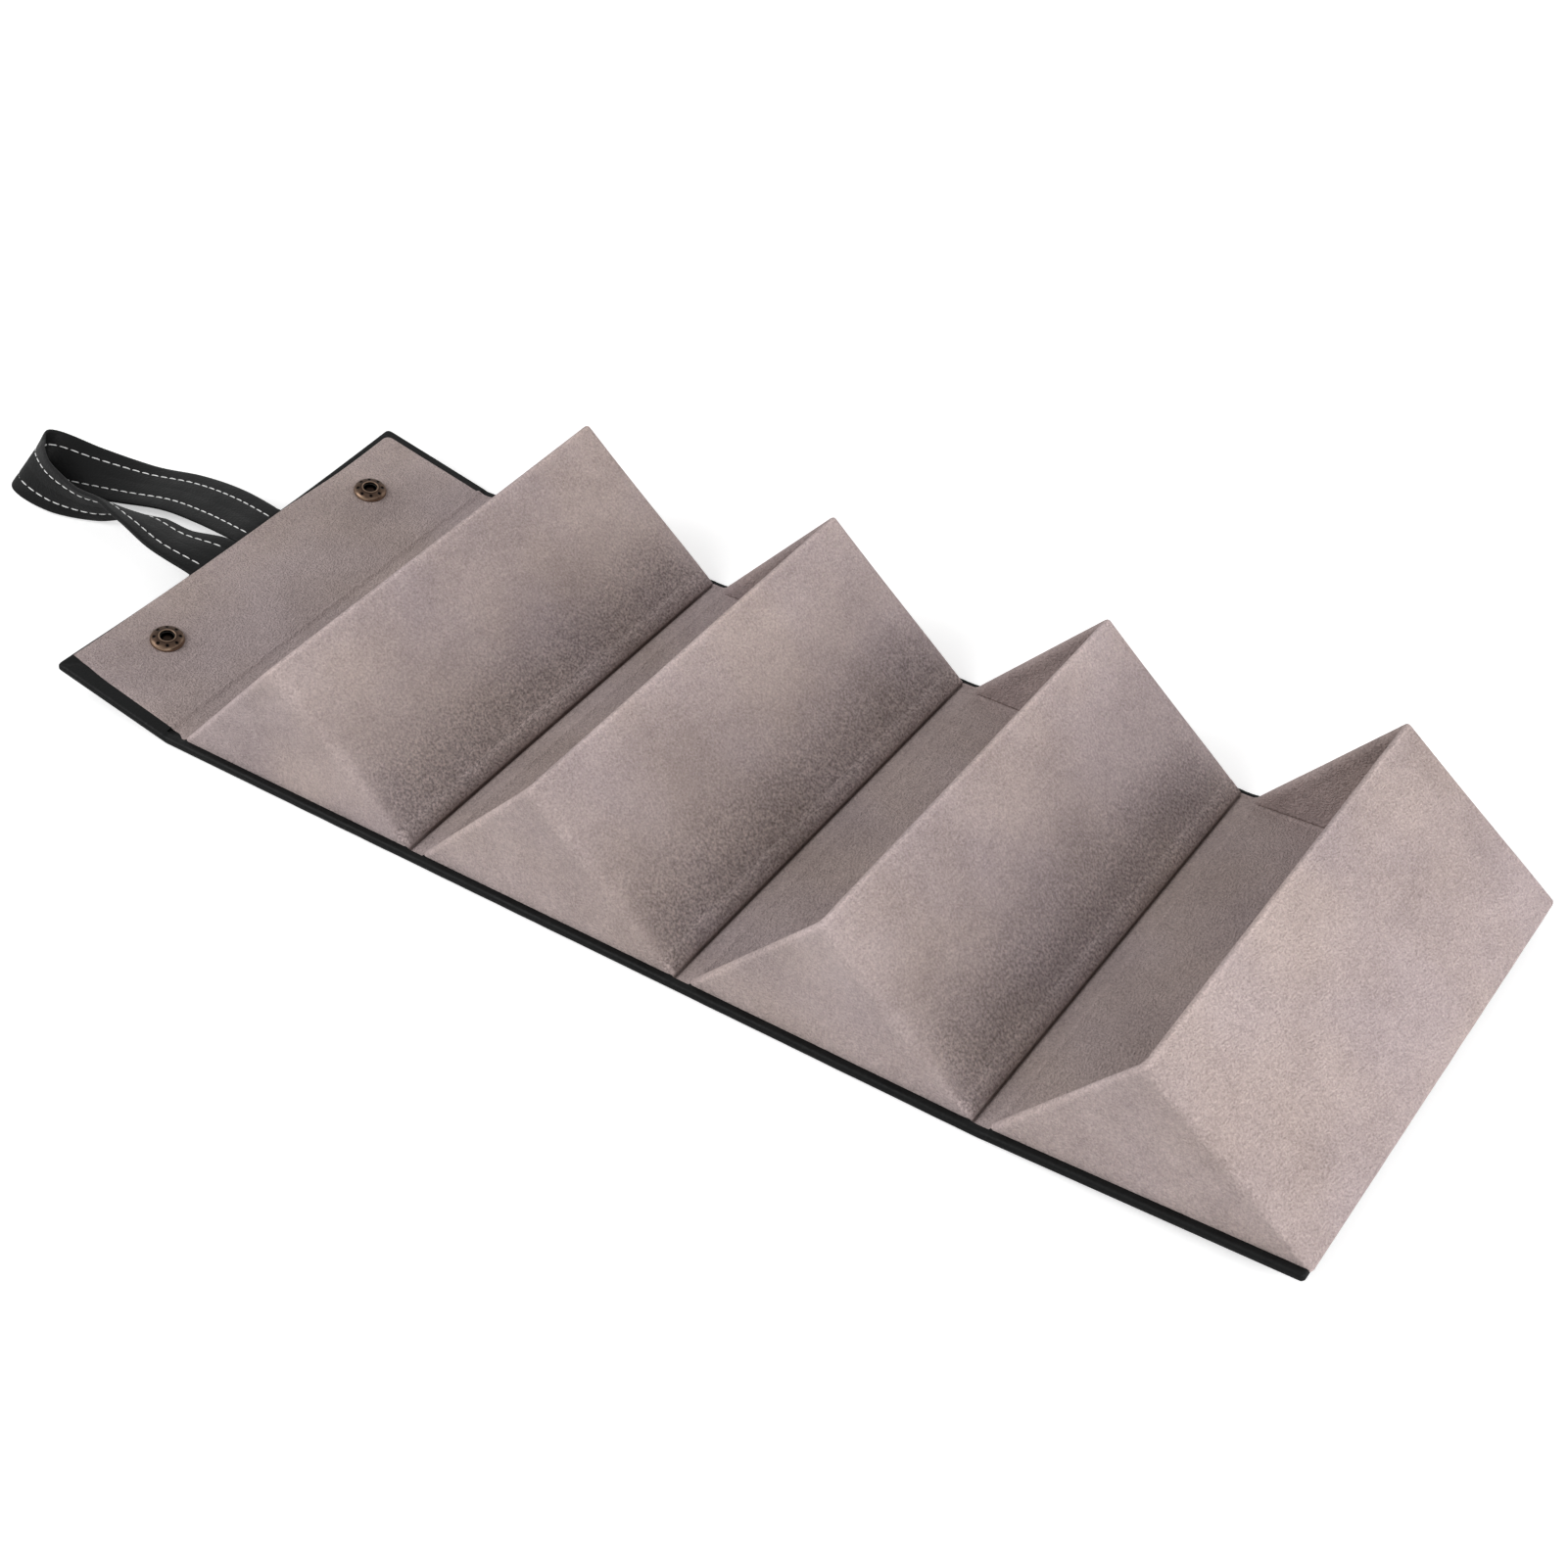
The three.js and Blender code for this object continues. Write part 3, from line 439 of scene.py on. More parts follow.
# Floor and light, in metres, watts and degrees: each lamp has a heading from +X, a height and a power
STAGE_HALF = 6.0
STAGE_LEVEL = -0.0003
STAGE_SURFACE = {
    "Base Color": (0.86, 0.86, 0.86, 1.0),
    "Roughness": 0.9,
    "Specular IOR Level": 0.0,
    "Emission Color": WHITE,
}
STAGE_GLOW = {"From Min": 0.5, "From Max": 1.3, "To Min": 0.5, "To Max": 0.8}
AMBIENT = 0.29
LAMP_AIM = Vector((0.1, 0.0, 0.02))
LAMP_DISTANCE = 1.6
LAMP_SIDE = 0.9
LAMPS = [
    ("key_right", 0.0, 17.0, 15.2),
    ("fill_front_right", -45.0, 25.0, 3.8),
    ("fill_far_right", 65.0, 30.0, 3.0),
    ("fill_front_left", -135.0, 40.0, 13.2),
]

# Camera of the photo, in metres and degrees, with its lens and sensor in millimetres
CAMERA_PLACE = Vector((0.52838, -0.52607, 0.58316))
CAMERA_HEADING = math.radians(-36.036)
CAMERA_DIP = math.radians(41.339)
CAMERA_ROLL = math.radians(2.3005)
CAMERA_LENS = 58.534
CAMERA_SENSOR = 36.0
CAMERA_CLIP = (0.01, 50.0)


def smoothstep(share):
    share = min(max(share, 0.0), 1.0)
    return share * share * (3.0 - 2.0 * share)


def eased(value, start, run):
    """Smooth step from 0 to 1 over a run that begins at a start."""
    return smoothstep((value - start) / run)


def mixed(a, b, share):
    return a + (b - a) * share


def uneven(wave, along, across=1.0, count=1.0):
    """Soft unevenness of a wave at a place, with another pattern for each count."""
    height, rate_along, rate_across, seed = wave
    return height * noise.noise(Vector((along * rate_along, across * rate_across, count * seed)))


EVEN_SHARES = [mixed(-ACROSS_EVEN, ACROSS_EVEN, k / ACROSS_STEPS) for k in range(ACROSS_STEPS + 1)]
ACROSS_SHARES = ACROSS_ENDS + EVEN_SHARES + [-share for share in ACROSS_ENDS[::-1]]


# Frames of the panels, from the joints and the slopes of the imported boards
def board_turn(name):
    """Turn about Y of a packed board, read from its largest face."""
    faces = frame["nodes"][name].data.polygons
    normal = max(faces, key=lambda face: face.area).normal
    if normal.z < 0:
        normal = -normal
    return math.atan2(normal.x, normal.z)


def panel_frame(fold, turn, along):
    place = Matrix.Translation(fold) @ Matrix.Rotation(turn, 4, "Y") @ Matrix.Scale(MM, 4)
    return place @ Matrix.Translation((along, 0.0, -FOLD_HEIGHT))


JOINTS = {joint["name"]: Vector(joint["pos_m"]) for joint in frame["joints"]}
FLAP_TURN = board_turn("flap_board")
LAST_TURN = board_turn(f"floor_board_{POCKET_COUNT}")
PANELS = {
    "flap": panel_frame(JOINTS["flap_fold"], FLAP_TURN, 0.0),
    "pocket_1": panel_frame(JOINTS["flap_fold"], 0.0, FLAP_FOLD_OFFSET),
    "pocket_2": panel_frame(JOINTS["fold_12"], 0.0, HALF_GAP),
    "pocket_3": panel_frame(JOINTS["fold_23"], 0.0, HALF_GAP),
    "pocket_4": panel_frame(JOINTS["fold_34"], LAST_TURN, HALF_GAP),
}
IN_MILLIMETRES = Matrix.Scale(MM, 4)
IN_METRES = Matrix.Identity(4)


class Hinge:
    """A soft strip between two panels; its points turn about the fold, little by little."""

    def __init__(self, joint, left, right, turns, reaches, bend):
        self.fold = JOINTS[joint]
        self.left = left
        self.right = right
        self.turns = turns
        self.reaches = reaches
        self.bend = bend

    def point(self, along, across, height):
        share = eased(along, -self.bend, 2 * self.bend)
        turn = mixed(self.turns[0], self.turns[1], share)
        arm = Vector((along, across, height - FOLD_HEIGHT)) * MM
        return self.fold + Matrix.Rotation(turn, 3, "Y") @ arm

    def join(self, piece):
        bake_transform(piece)


FLAP_REACHES = (FLAP_BOARD_START, FLAP_FOLD_OFFSET)
FOLD_REACHES = (HALF_GAP, HALF_GAP)
FLAP_HINGE = Hinge("flap_fold", "flap", "pocket_1", (FLAP_TURN, 0.0), FLAP_REACHES, FLAP_BOARD_START)
POCKET_HINGES = [
    Hinge("fold_12", "pocket_1", "pocket_2", (0.0, 0.0), FOLD_REACHES, HALF_GAP),
    Hinge("fold_23", "pocket_2", "pocket_3", (0.0, 0.0), FOLD_REACHES, HALF_GAP),
    Hinge("fold_34", "pocket_3", "pocket_4", (0.0, LAST_TURN), FOLD_REACHES, HALF_GAP),
]


# Mesh making
def loft(rings):
    """Faces between closed rings of points, one after the other, with a face over each end."""
    count = len(rings[0])
    points = [point for ring in rings for point in ring]
    faces = []
    for r in range(len(rings) - 1):
        for k in range(count):
            a = r * count + k
            b = r * count + (k + 1) % count
            faces.append((a, b, b + count, a + count))
    faces.append(tuple(range(count)))
    faces.append(tuple(range(len(points) - count, len(points))))
    return points, faces


def sheet(upper, lower):
    """Closed sheet between two grids of points, each a list of rows."""
    rows, step = len(upper), len(upper[0])
    count = rows * step
    faces = []
    for i in range(rows - 1):
        for j in range(step - 1):
            a = i * step + j
            faces.append((a, a + 1, a + 1 + step, a + step))
            faces.append((a + count, a + step + count, a + 1 + step + count, a + 1 + count))
    rim = list(range(step)) + [i * step + step - 1 for i in range(1, rows)]
    rim += [(rows - 1) * step + j for j in range(step - 2, -1, -1)]
    rim += [i * step for i in range(rows - 2, 0, -1)]
    for k, a in enumerate(rim):
        b = rim[(k + 1) % len(rim)]
        faces.append((a, a + count, b + count, b))
    return [point for row in upper + lower for point in row], faces


def under_row(row):
    """Row of points a suede's thickness below a row that runs along X."""
    result = []
    for i, (x, y, z) in enumerate(row):
        before, after = row[max(i - 1, 0)], row[min(i + 1, len(row) - 1)]
        step_x, step_z = after[0] - before[0], after[2] - before[2]
        size = math.hypot(step_x, step_z)
        result.append((x + SUEDE * step_z / size, y, z - SUEDE * step_x / size))
    return result


def add_piece(name, points, faces, place, coat, sharp=SHARP, marks=None):
    """New object with a coat; its marks, one value for each point under a name, shade its material."""
    look, slot = coat
    mesh = bpy.data.meshes.new(name)
    mesh.from_pydata([place @ Vector(point) for point in points], [], faces)
    for label, values in (marks or {}).items():
        layer = mesh.attributes.new(label, "FLOAT", "POINT")
        for item, value in zip(layer.data, values):
            item.value = value
    work = bmesh.new()
    work.from_mesh(mesh)
    bmesh.ops.remove_doubles(work, verts=work.verts, dist=MERGE)
    bmesh.ops.dissolve_degenerate(work, edges=work.edges, dist=DEGENERATE)
    bmesh.ops.recalc_face_normals(work, faces=work.faces)
    work.to_mesh(mesh)
    work.free()
    mesh.shade_smooth()
    mesh.set_sharp_from_angle(angle=math.radians(sharp))
    mesh.materials.append(look)
    piece = bpy.data.objects.new(name, mesh)
    bpy.context.scene.collection.objects.link(piece)
    return piece


# Materials
def material_with(name):
    material = bpy.data.materials.new(name)
    material.use_nodes = True
    return material, material.node_tree, material.node_tree.nodes["Principled BSDF"]


def set_inputs(tree, node, values):
    """Set a node's inputs by name or number; a value that another node gives is linked."""
    for key, value in values.items():
        if isinstance(value, bpy.types.NodeSocket):
            tree.links.new(value, node.inputs[key])
        else:
            node.inputs[key].default_value = value


def add_node(tree, kind, inputs=None, **settings):
    node = tree.nodes.new(kind)
    for key, value in settings.items():
        setattr(node, key, value)
    set_inputs(tree, node, inputs or {})
    return node


def add_noise(tree, scale, detail, roughness, stretch):
    where = add_node(tree, "ShaderNodeTexCoord").outputs["Object"]
    stretched = add_node(tree, "ShaderNodeMapping", {"Vector": where, "Scale": stretch}).outputs["Vector"]
    inputs = {"Vector": stretched, "Scale": scale, "Detail": detail, "Roughness": roughness}
    return add_node(tree, "ShaderNodeTexNoise", inputs).outputs["Fac"]


def calculated(tree, operation, first, second):
    return add_node(tree, "ShaderNodeMath", {0: first, 1: second}, operation=operation).outputs[0]


def weighted(tree, sockets, weights):
    """Sum of sockets, each times its weight."""
    total, *parts = [calculated(tree, "MULTIPLY", *pair) for pair in zip(sockets, weights)]
    for part in parts:
        total = calculated(tree, "ADD", total, part)
    return total


def remapped(tree, socket, limits):
    return add_node(tree, "ShaderNodeMapRange", {"Value": socket, **limits}).outputs["Result"]


def multiplied(tree, colour, other):
    inputs = {MIX_SHARE: 1.0, **dict(zip(MIX_COLOURS, (colour, other)))}
    node = add_node(tree, "ShaderNodeMix", inputs, data_type="RGBA", blend_type="MULTIPLY")
    return node.outputs[MIX_COLOUR_OUT]


def marked(tree, name):
    """The marks of a piece's points under a name."""
    return add_node(tree, "ShaderNodeAttribute", attribute_name=name).outputs["Fac"]


def ramp(tree, socket, stops):
    node = add_node(tree, "ShaderNodeValToRGB", {"Fac": socket})
    elements = node.color_ramp.elements
    while len(elements) < len(stops):
        elements.new(1.0)
    for element, (place, colour) in zip(elements, stops):
        element.position = place
        element.color = (*colour, 1.0)
    return node.outputs["Color"]


def bump(tree, socket, strength, distance, below=None):
    inputs = {"Height": socket, "Strength": strength, "Distance": distance}
    if below is not None:
        inputs["Normal"] = below
    return add_node(tree, "ShaderNodeBump", inputs).outputs["Normal"]


def suede_material():
    """Brushed nap with painted shade in creases, painted highlights on rims and painted grain shading at a
    wall's foot.
    """
    material, tree, shader = material_with("suede_taupe_nap")
    grain = add_noise(tree, *SUEDE_GRAIN)
    fibre = add_noise(tree, *SUEDE_FIBRE)
    layers = [add_noise(tree, *SUEDE_NAP), add_noise(tree, *SUEDE_BRUSHED), grain, fibre]
    base = ramp(tree, weighted(tree, layers, SUEDE_WEIGHTS), SUEDE_SHADES)
    tint = ramp(tree, add_noise(tree, *SUEDE_WARMTH), SUEDE_TINTS)
    # Painted shade in creases and painted highlights on rims, from the tone marks
    tone = ramp(tree, remapped(tree, marked(tree, "tone"), SUEDE_PAINTED_LIGHT_LIMITS), SUEDE_PAINTED_LIGHT_RAMP)
    # Painted light and shade of the grain, mixed in by the foot marks
    painted_grain = remapped(tree, add_noise(tree, *SUEDE_PAINTED_GRAIN), SUEDE_PAINTED_GRAIN_LIMITS)
    height = remapped(tree, marked(tree, "foot"), SUEDE_FOOT_LIMITS)
    flat, raised = MIX_NUMBERS
    inputs = {MIX_SHARE: height, flat: 1.0, raised: painted_grain}
    painted_grain_at_foot = add_node(tree, "ShaderNodeMix", inputs, data_type="FLOAT").outputs[0]
    painted_shade_colour = multiplied(tree, multiplied(tree, base, tint), tone)
    colour = multiplied(tree, painted_shade_colour, painted_grain_at_foot)
    coarse = bump(tree, grain, *SUEDE_GRAIN_BUMP)
    normal = bump(tree, fibre, *SUEDE_FIBRE_BUMP, coarse)
    set_inputs(tree, shader, {"Base Color": colour, "Normal": normal, **SUEDE_SURFACE})
    return material


def leather_material():
    material, tree, shader = material_with("leather_black_grain")
    where = add_node(tree, "ShaderNodeTexCoord").outputs["Object"]
    cells = add_node(tree, "ShaderNodeTexVoronoi", {"Vector": where, **LEATHER_CELLS}).outputs["Distance"]
    creases = add_noise(tree, *LEATHER_CREASES)
    shade = weighted(tree, (creases, add_noise(tree, *LEATHER_PORES)), LEATHER_WEIGHTS)
    colour = ramp(tree, shade, LEATHER_SHADES)
    roughness = ramp(tree, creases, LEATHER_ROUGHNESS)
    soft = bump(tree, creases, *LEATHER_CREASE_BUMP)
    normal = bump(tree, cells, *LEATHER_CELL_BUMP, soft)
    set_inputs(tree, shader, {"Base Color": colour, "Roughness": roughness, "Normal": normal})
    set_inputs(tree, shader, LEATHER_SURFACE)
    return material


def brass_material():
    """Dark patina that wears off on the raised edges, and painted shade that blackens the inside of a
    socket's hole.
    """
    material, tree, shader = material_with("antique_brass_worn")
    patina = add_noise(tree, *BRASS_PATINA)
    shade = weighted(tree, (marked(tree, "tone"), patina), BRASS_WEIGHTS)
    colour = ramp(tree, shade, BRASS_SHADES)
    roughness = ramp(tree, shade, BRASS_ROUGHNESS)
    normal = bump(tree, patina, *BRASS_BUMP)
    set_inputs(tree, shader, {"Base Color": colour, "Roughness": roughness, "Normal": normal})
    set_inputs(tree, shader, METAL_SURFACE)
    return material


# Steel darkened partly as a finish and partly as painted shade inside a socket's hole
def wire_material():
    material, tree, shader = material_with("spring_wire_steel")
    drawn = add_noise(tree, *WIRE_DRAWN)
    colour = ramp(tree, drawn, WIRE_SHADES)
    roughness = ramp(tree, drawn, WIRE_ROUGHNESS)
    set_inputs(tree, shader, {"Base Color": colour, "Roughness": roughness, **METAL_SURFACE})
    return material


def board_material():
    material, tree, shader = material_with("greyboard_pressed")
    flecks = add_noise(tree, *BOARD_FLECKS)
    shade = weighted(tree, (flecks, add_noise(tree, *BOARD_CLOUDS)), BOARD_WEIGHTS)
    colour = ramp(tree, shade, BOARD_SHADES)
    normal = bump(tree, flecks, *BOARD_BUMP)
    set_inputs(tree, shader, {"Base Color": colour, "Normal": normal, **BOARD_SURFACE})
    return material


def thread_material():
    material, tree, shader = material_with("thread_white_twist")
    twist = add_noise(tree, *THREAD_TWIST)
    colour = ramp(tree, twist, THREAD_SHADES)
    normal = bump(tree, twist, *THREAD_BUMP)
    set_inputs(tree, shader, {"Base Color": colour, "Normal": normal, **THREAD_SURFACE})
    return material


LEATHER_LOOK = leather_material()
BRASS_LOOK = brass_material()
SUEDE_COAT = (suede_material(), "suede_taupe")
LEATHER_COAT = (LEATHER_LOOK, "leather_black")
THREAD_COAT = (thread_material(), "leather_black")
BRASS_COAT = (BRASS_LOOK, "antique_brass")
NODE_LOOKS = {
    "board": board_material(),
    "strap_end": LEATHER_LOOK,
    "stud_post": BRASS_LOOK,
    "socket_ring": wire_material(),
}


# Black cover
def near_edge(y):
    """The cover's near edge lies a little further out than its far edge."""
    return y - NEAR_LEATHER * eased(-y, *NEAR_LEATHER_SIDE)


def rounded_edge(radius, height):
    """Points round an edge, from its top to its underside: way in from the edge, and height."""
    places = []
    for k in range(EDGE_STEPS + 1):
        turn = math.pi / 2 * (1 - k / EDGE_STEPS)
        places.append((radius - radius * math.cos(turn), height - radius + radius * math.sin(turn)))
    for k in range(EDGE_STEPS + 1):
        turn = math.pi / 2 * k / EDGE_STEPS
        places.append((radius - radius * math.cos(turn), radius - radius * math.sin(turn)))
    return places


def cover_edge(height, seat, rise):
    """One side of the cover's section: over the hem, up to the bead, round the edge and back inside."""
    outer = min(EDGE_ROUND, EDGE_SHARE * height)
    inner = max(THINNEST, outer - LEATHER)
    inside = HALF_COVER - LEATHER
    top = max(seat - LEATHER, LEATHER + THINNEST)
    over = [(HALF_COVER - HEM_REACH, seat), (BEAD_START - BEAD_LEAD, seat)]
    over += [(BEAD_START + out, mixed(seat, height, share)) for out, share in rise]
    over += [(HALF_COVER - inset, z) for inset, z in rounded_edge(outer, height)]
    back = [
        (inside - inner, LEATHER),
        (inside, min(LEATHER + inner, (LEATHER + top) / 2)),
        (inside, max(top - inner, (LEATHER + top) / 2)),
        (inside - inner, top),
        (HALF_COVER - HEM_REACH, top),
    ]
    return over, back


def cover_section(height, seat):
    """Closed section of the cover across its width, with the heights of its edges and of the hems' seat."""
    near_over, near_back = cover_edge(height, seat, NEAR_RISE)
    far_over, far_back = cover_edge(height, seat, FAR_RISE)
    near_side = [(near_edge(-y), z) for y, z in near_over[::-1] + near_back[::-1]]
    return far_over + [(FLAT_HALF, 0.0), (-FLAT_HALF, 0.0)] + near_side + [(0.0, LEATHER)] + far_back


def add_cover_panel(number):
    """Cover under a pocket that has a fold at both ends."""
    section = cover_section(HEM_TOP, HEM_TOP)
    rings = []
    for k in range(PANEL_STEPS + 1):
        x = POCKET_LENGTH * k / PANEL_STEPS
        calm = smoothstep(x / EDGE_WAVE_END) * smoothstep((POCKET_LENGTH - x) / EDGE_WAVE_END)
        ring = []
        for y, z in section:
            wave = uneven(EDGE_WAVE, x, math.copysign(1.0, y), number)
            ring.append((x, y + math.copysign(wave * calm * eased(abs(y), *EDGE_WAVE_SIDE), y), z))
        rings.append(ring)
    points, faces = loft(rings)
    piece = add_piece(f"leather_cover_{number}", points, faces, PANELS[f"pocket_{number}"], LEATHER_COAT)
    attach(piece, f"pocket_{number}")
    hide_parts(f"cover_{number}")


def tray_path(hinge_x, end_x, inset, corner):
    """Line round a panel's three outer edges, drawn in by an inset, with each point's share in a corner."""
    side = HALF_COVER - inset
    sign = 1.0 if end_x > hinge_x else -1.0
    end = end_x - sign * inset
    radius = max(corner - inset, 0.0)
    far_run, near_run = (max(radius, run) for run in MITRE_RUNS)
    half = [(mixed(hinge_x, end, k / TRAY_STEPS), -side, 0.0) for k in range(TRAY_STEPS)]
    half.append((end - sign * far_run, -side, 0.0))
    half.append((end - sign * near_run, -side, MITRE_SHARE))
    for k in range(MITRE_STEPS + 1):
        turn = math.pi / 2 * k / MITRE_STEPS
        x = end - sign * radius * (1 - math.sin(turn))
        half.append((x, -side + radius * (1 - math.cos(turn)), 1.0))
    half.append((end, -side + near_run, MITRE_SHARE))
    half.append((end, -side + far_run, 0.0))
    last = side - MITRE_RUNS[0]
    across = [(end, mixed(-last, last, k / TRAY_END_STEPS), 0.0) for k in range(1, TRAY_END_STEPS)]
    return half + across + [(x, -y, weight) for x, y, weight in half[::-1]]


def add_cover_tray(name, body, node, hinge_x, end_x, corner, hem, bows, cut):
    """Cover of an end panel, turned over on three sides with mitred corners."""
    inner_top = HEM_TOP - LEATHER
    reach = hem + PLATE_REACH
    bevel, rise = INNER_BEVEL
    section = [(hem, HEM_TOP, 1.0)]
    for inset, z in rounded_edge(EDGE_ROUND, HEM_TOP):
        section.append((inset, z, max((z - HEM_TOP) / EDGE_ROUND + 1, 0.0)))
    plate = len(section)
    section += [(reach, 0.0, 0.0), (reach, LEATHER, 0.0)]
    section += [(LEATHER + bevel, LEATHER, 0.0), (LEATHER, LEATHER + rise, 0.0)]
    section += [(LEATHER, inner_top - rise, 0.0), (LEATHER + bevel, inner_top, 0.0)]
    section.append((hem, inner_top, MITRE_UNDER))
    outward = math.copysign(1.0, end_x)
    rows = []
    for inset, z, fold in section:
        row = []
        for x, y, weight in tray_path(hinge_x, end_x, inset, corner):
            outer = smoothstep(abs(x - hinge_x) / abs(end_x - hinge_x))
            poke = bows[0 if y < 0 else 1] * (y / HALF_COVER) ** 2 - cut * eased(y, *CUT_SIDE)
            row.append((x + outward * poke * outer, near_edge(y), z - MITRE_SINK * weight * fold))
        rows.append(row)
    count = len(rows[0])
    points = [point for row in rows for point in row]
    faces = []
    for r in range(len(rows)):
        after = (r + 1) % len(rows)
        if r == plate:
            continue
        for k in range(count - 1):
            faces.append((r * count + k, r * count + k + 1, after * count + k + 1, after * count + k))
    for k in (0, count - 1):
        faces.append(tuple(r * count + k for r in range(len(rows))))
    low = [plate * count + k for k in range(count)]
    high = [(plate + 1) * count + k for k in range(count)]
    faces += [tuple(low), tuple(high), (low[0], low[-1], high[-1], high[0])]
    piece = add_piece(name, points, faces, PANELS[body], LEATHER_COAT)
    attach(piece, body)
    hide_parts(node)


def add_leather_strip(hinge, name, seat):
    """Cover at a fold, where there is no board and the hems sink to one thickness on another."""
    left, right = hinge.reaches
    first, second = STRIP_STARTS
    stations = [-left, first - left]
    stations += [mixed(second - left, right - second, k / STRIP_STEPS) for k in range(STRIP_STEPS + 1)]
    stations += [right - first, right]
    rings = []
    for along in stations:
        inside = min(along + left, right - along)
        height = mixed(HEM_TOP, STRIP_BEAD, smoothstep(inside / STRIP_BEAD_RUN))
        section = cover_section(height, seat if inside > 0 else HEM_TOP)
        rings.append([hinge.point(along, y, z) for y, z in section])
    points, faces = loft(rings)
    hinge.join(add_piece(name, points, faces, IN_METRES, LEATHER_COAT))


# Suede pockets: each wall with its two gussets is one skin over boards
def wall_point(up, depth, across):
    """Point of a pocket at a way up the slope of its wall and a depth below the wall's outer face."""
    x = POCKET_LENGTH + up * SLOPE_X - depth * SLOPE_Z
    z = SEAT + up * SLOPE_Z + depth * SLOPE_X
    return (x, across, z)


def skin_side(face, wall, radius, floor_depth):
    """One side of a skin line: along the gusset from its foot, and round the corner onto the wall."""
    buried = min(max((wall + radius - floor_depth) / radius, 0.0), 1.0)
    first = math.asin(buried)
    foot = face - radius + radius * math.cos(first)
    side = [(foot, mixed(floor_depth, wall + radius, k / GUSSET_STEPS), 0.0) for k in range(GUSSET_STEPS)]
    for k in range(ARC_STEPS + 1):
        turn = max(math.pi / 2 * k / ARC_STEPS, first)
        side.append((face - radius + radius * math.cos(turn), wall + radius - radius * math.sin(turn), turn))
    return side


def skin_line(up, offset, seed):
    """Line from the near gusset's foot over the wall to the far one's, offset outward from the middle."""
    ragged = sum(uneven(wave, up, seed) for wave in RAGGED_FOOT)
    floor_depth = (up * SLOPE_Z + SEAT - SHELL_BOTTOM + ragged * smoothstep(up / RAGGED_RUN)) / -SLOPE_X
    face = HALF_POCKET - NOSE + offset
    wall = NOSE - offset
    sides = []
    for widest in (CORNER_RADIUS, FAR_RADIUS):
        corner = mixed(FOOT_RADIUS, widest, eased(up, *CORNER_OPENS))
        sides.append(skin_side(face, wall, max(corner - NOSE + offset, INNER_RADIUS), floor_depth))
    near, far = sides
    line = [(-y, depth, turn) for y, depth, turn in near]
    start, end = -near[-1][0], far[-1][0]
    line += [(mixed(start, end, k / WALL_STEPS), wall, math.pi / 2) for k in range(1, WALL_STEPS)]
    line += far[::-1]
    quiet = eased(up, *QUIET_FOOT)
    shift = FAR_SHIFT if offset > 0 else FAR_SHIFT_INSIDE
    points = []
    for y, depth, turn in line:
        out = 0.0
        for height, rate_across, rate_up, rate_down, layer in SKIN_WAVES:
            place = Vector((y * rate_across, up * rate_up + depth * rate_down, seed + layer))
            out += height * noise.noise(place)
        from_corner = face - abs(y) if turn > 0 else depth - wall
        out *= quiet * eased(from_corner, *CALM_CORNER) * smoothstep((floor_depth - depth) / CALM_FLOOR)
        y += math.copysign(out * math.cos(turn), y)
        depth = min(depth - out * math.sin(turn), floor_depth)
        x, y, z = wall_point(up * (1 - MOUTH_LEAN * depth / WALL_LENGTH), depth, y)
        y += shift * eased(y, *FAR_SIDE)
        if offset > 0 and abs(y) > CORNER_START:
            swell, rise = (NEAR_SWELL, NEAR_SWELL_RISE) if y < 0 else (FAR_SWELL, FAR_SWELL_RISE)
            stretch = 1 + swell * (1 - eased(z, SEAT, rise)) / CORNER_RADIUS
            y = math.copysign(CORNER_START + (abs(y) - CORNER_START) * stretch, y)
        points.append((x, y, z))
    return points


def skin_levels():
    """Levels of a skin from its foot to its rim: way up, half thickness outside and inside, and tone, which
    paints a highlight at the rim.
    """
    lowest = (SHELL_BOTTOM - SEAT) / SLOPE_Z
    top = WALL_LENGTH - NOSE
    ups = [mixed(lowest, FOOT_ZONE, (k / FOOT_STEPS) ** FOOT_GROWTH) for k in range(FOOT_STEPS + 1)]
    ups += [mixed(FOOT_ZONE, top - RIM_HEM, k / RISE_STEPS) for k in range(1, RISE_STEPS + 1)]
    levels = [(up, NOSE, NOSE, 0.0) for up in ups]
    levels += [(top + up, NOSE, NOSE + thicker, tone) for up, thicker, tone in RIM]
    for k in range(1, RIM_STEPS + 1):
        turn = math.pi / 2 * k / RIM_STEPS
        half = NOSE * math.cos(turn)
        levels.append((top + NOSE * math.sin(turn), half, half, RIM_PAINTED_HIGHLIGHT))
    return levels


def add_pocket_skin(number):
    body = f"pocket_{number}"
    seed = number * SKIN_SEED
    rings, tones, feet = [], [], []
    for up, outward, inward, tone in skin_levels():
        outer, inner = skin_line(up, outward, seed), skin_line(up, -inward, seed)[::-1]
        rings.append(outer + inner)
        # Tone marks paint a highlight along the rim, on the inside only away from the corners
        tones += [tone] * len(outer) + [tone if abs(y) < CORNER_START else 0.0 for _, y, _ in inner]
        # Foot marks bring in the painted grain light and shade at the foot of every wall but the last
        foot = 1 - eased(up, *PAINTED_GRAIN_RISE) if number < POCKET_COUNT else 0.0
        feet += [foot * (1 - eased(abs(y), *PAINTED_GRAIN_ENDS)) for _, y, _ in outer] + [0.0] * len(inner)
    points, faces = loft(rings)
    marks = {"tone": tones, "foot": feet}
    piece = add_piece(f"suede_pocket_{number}", points, faces, PANELS[body], SUEDE_COAT, SHARP_SKIN, marks)
    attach(piece, body)
    nodes = [f"wall_sleeve_{number}", f"gusset_sleeve_near_{number}", f"gusset_sleeve_far_{number}"]
    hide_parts(*nodes)


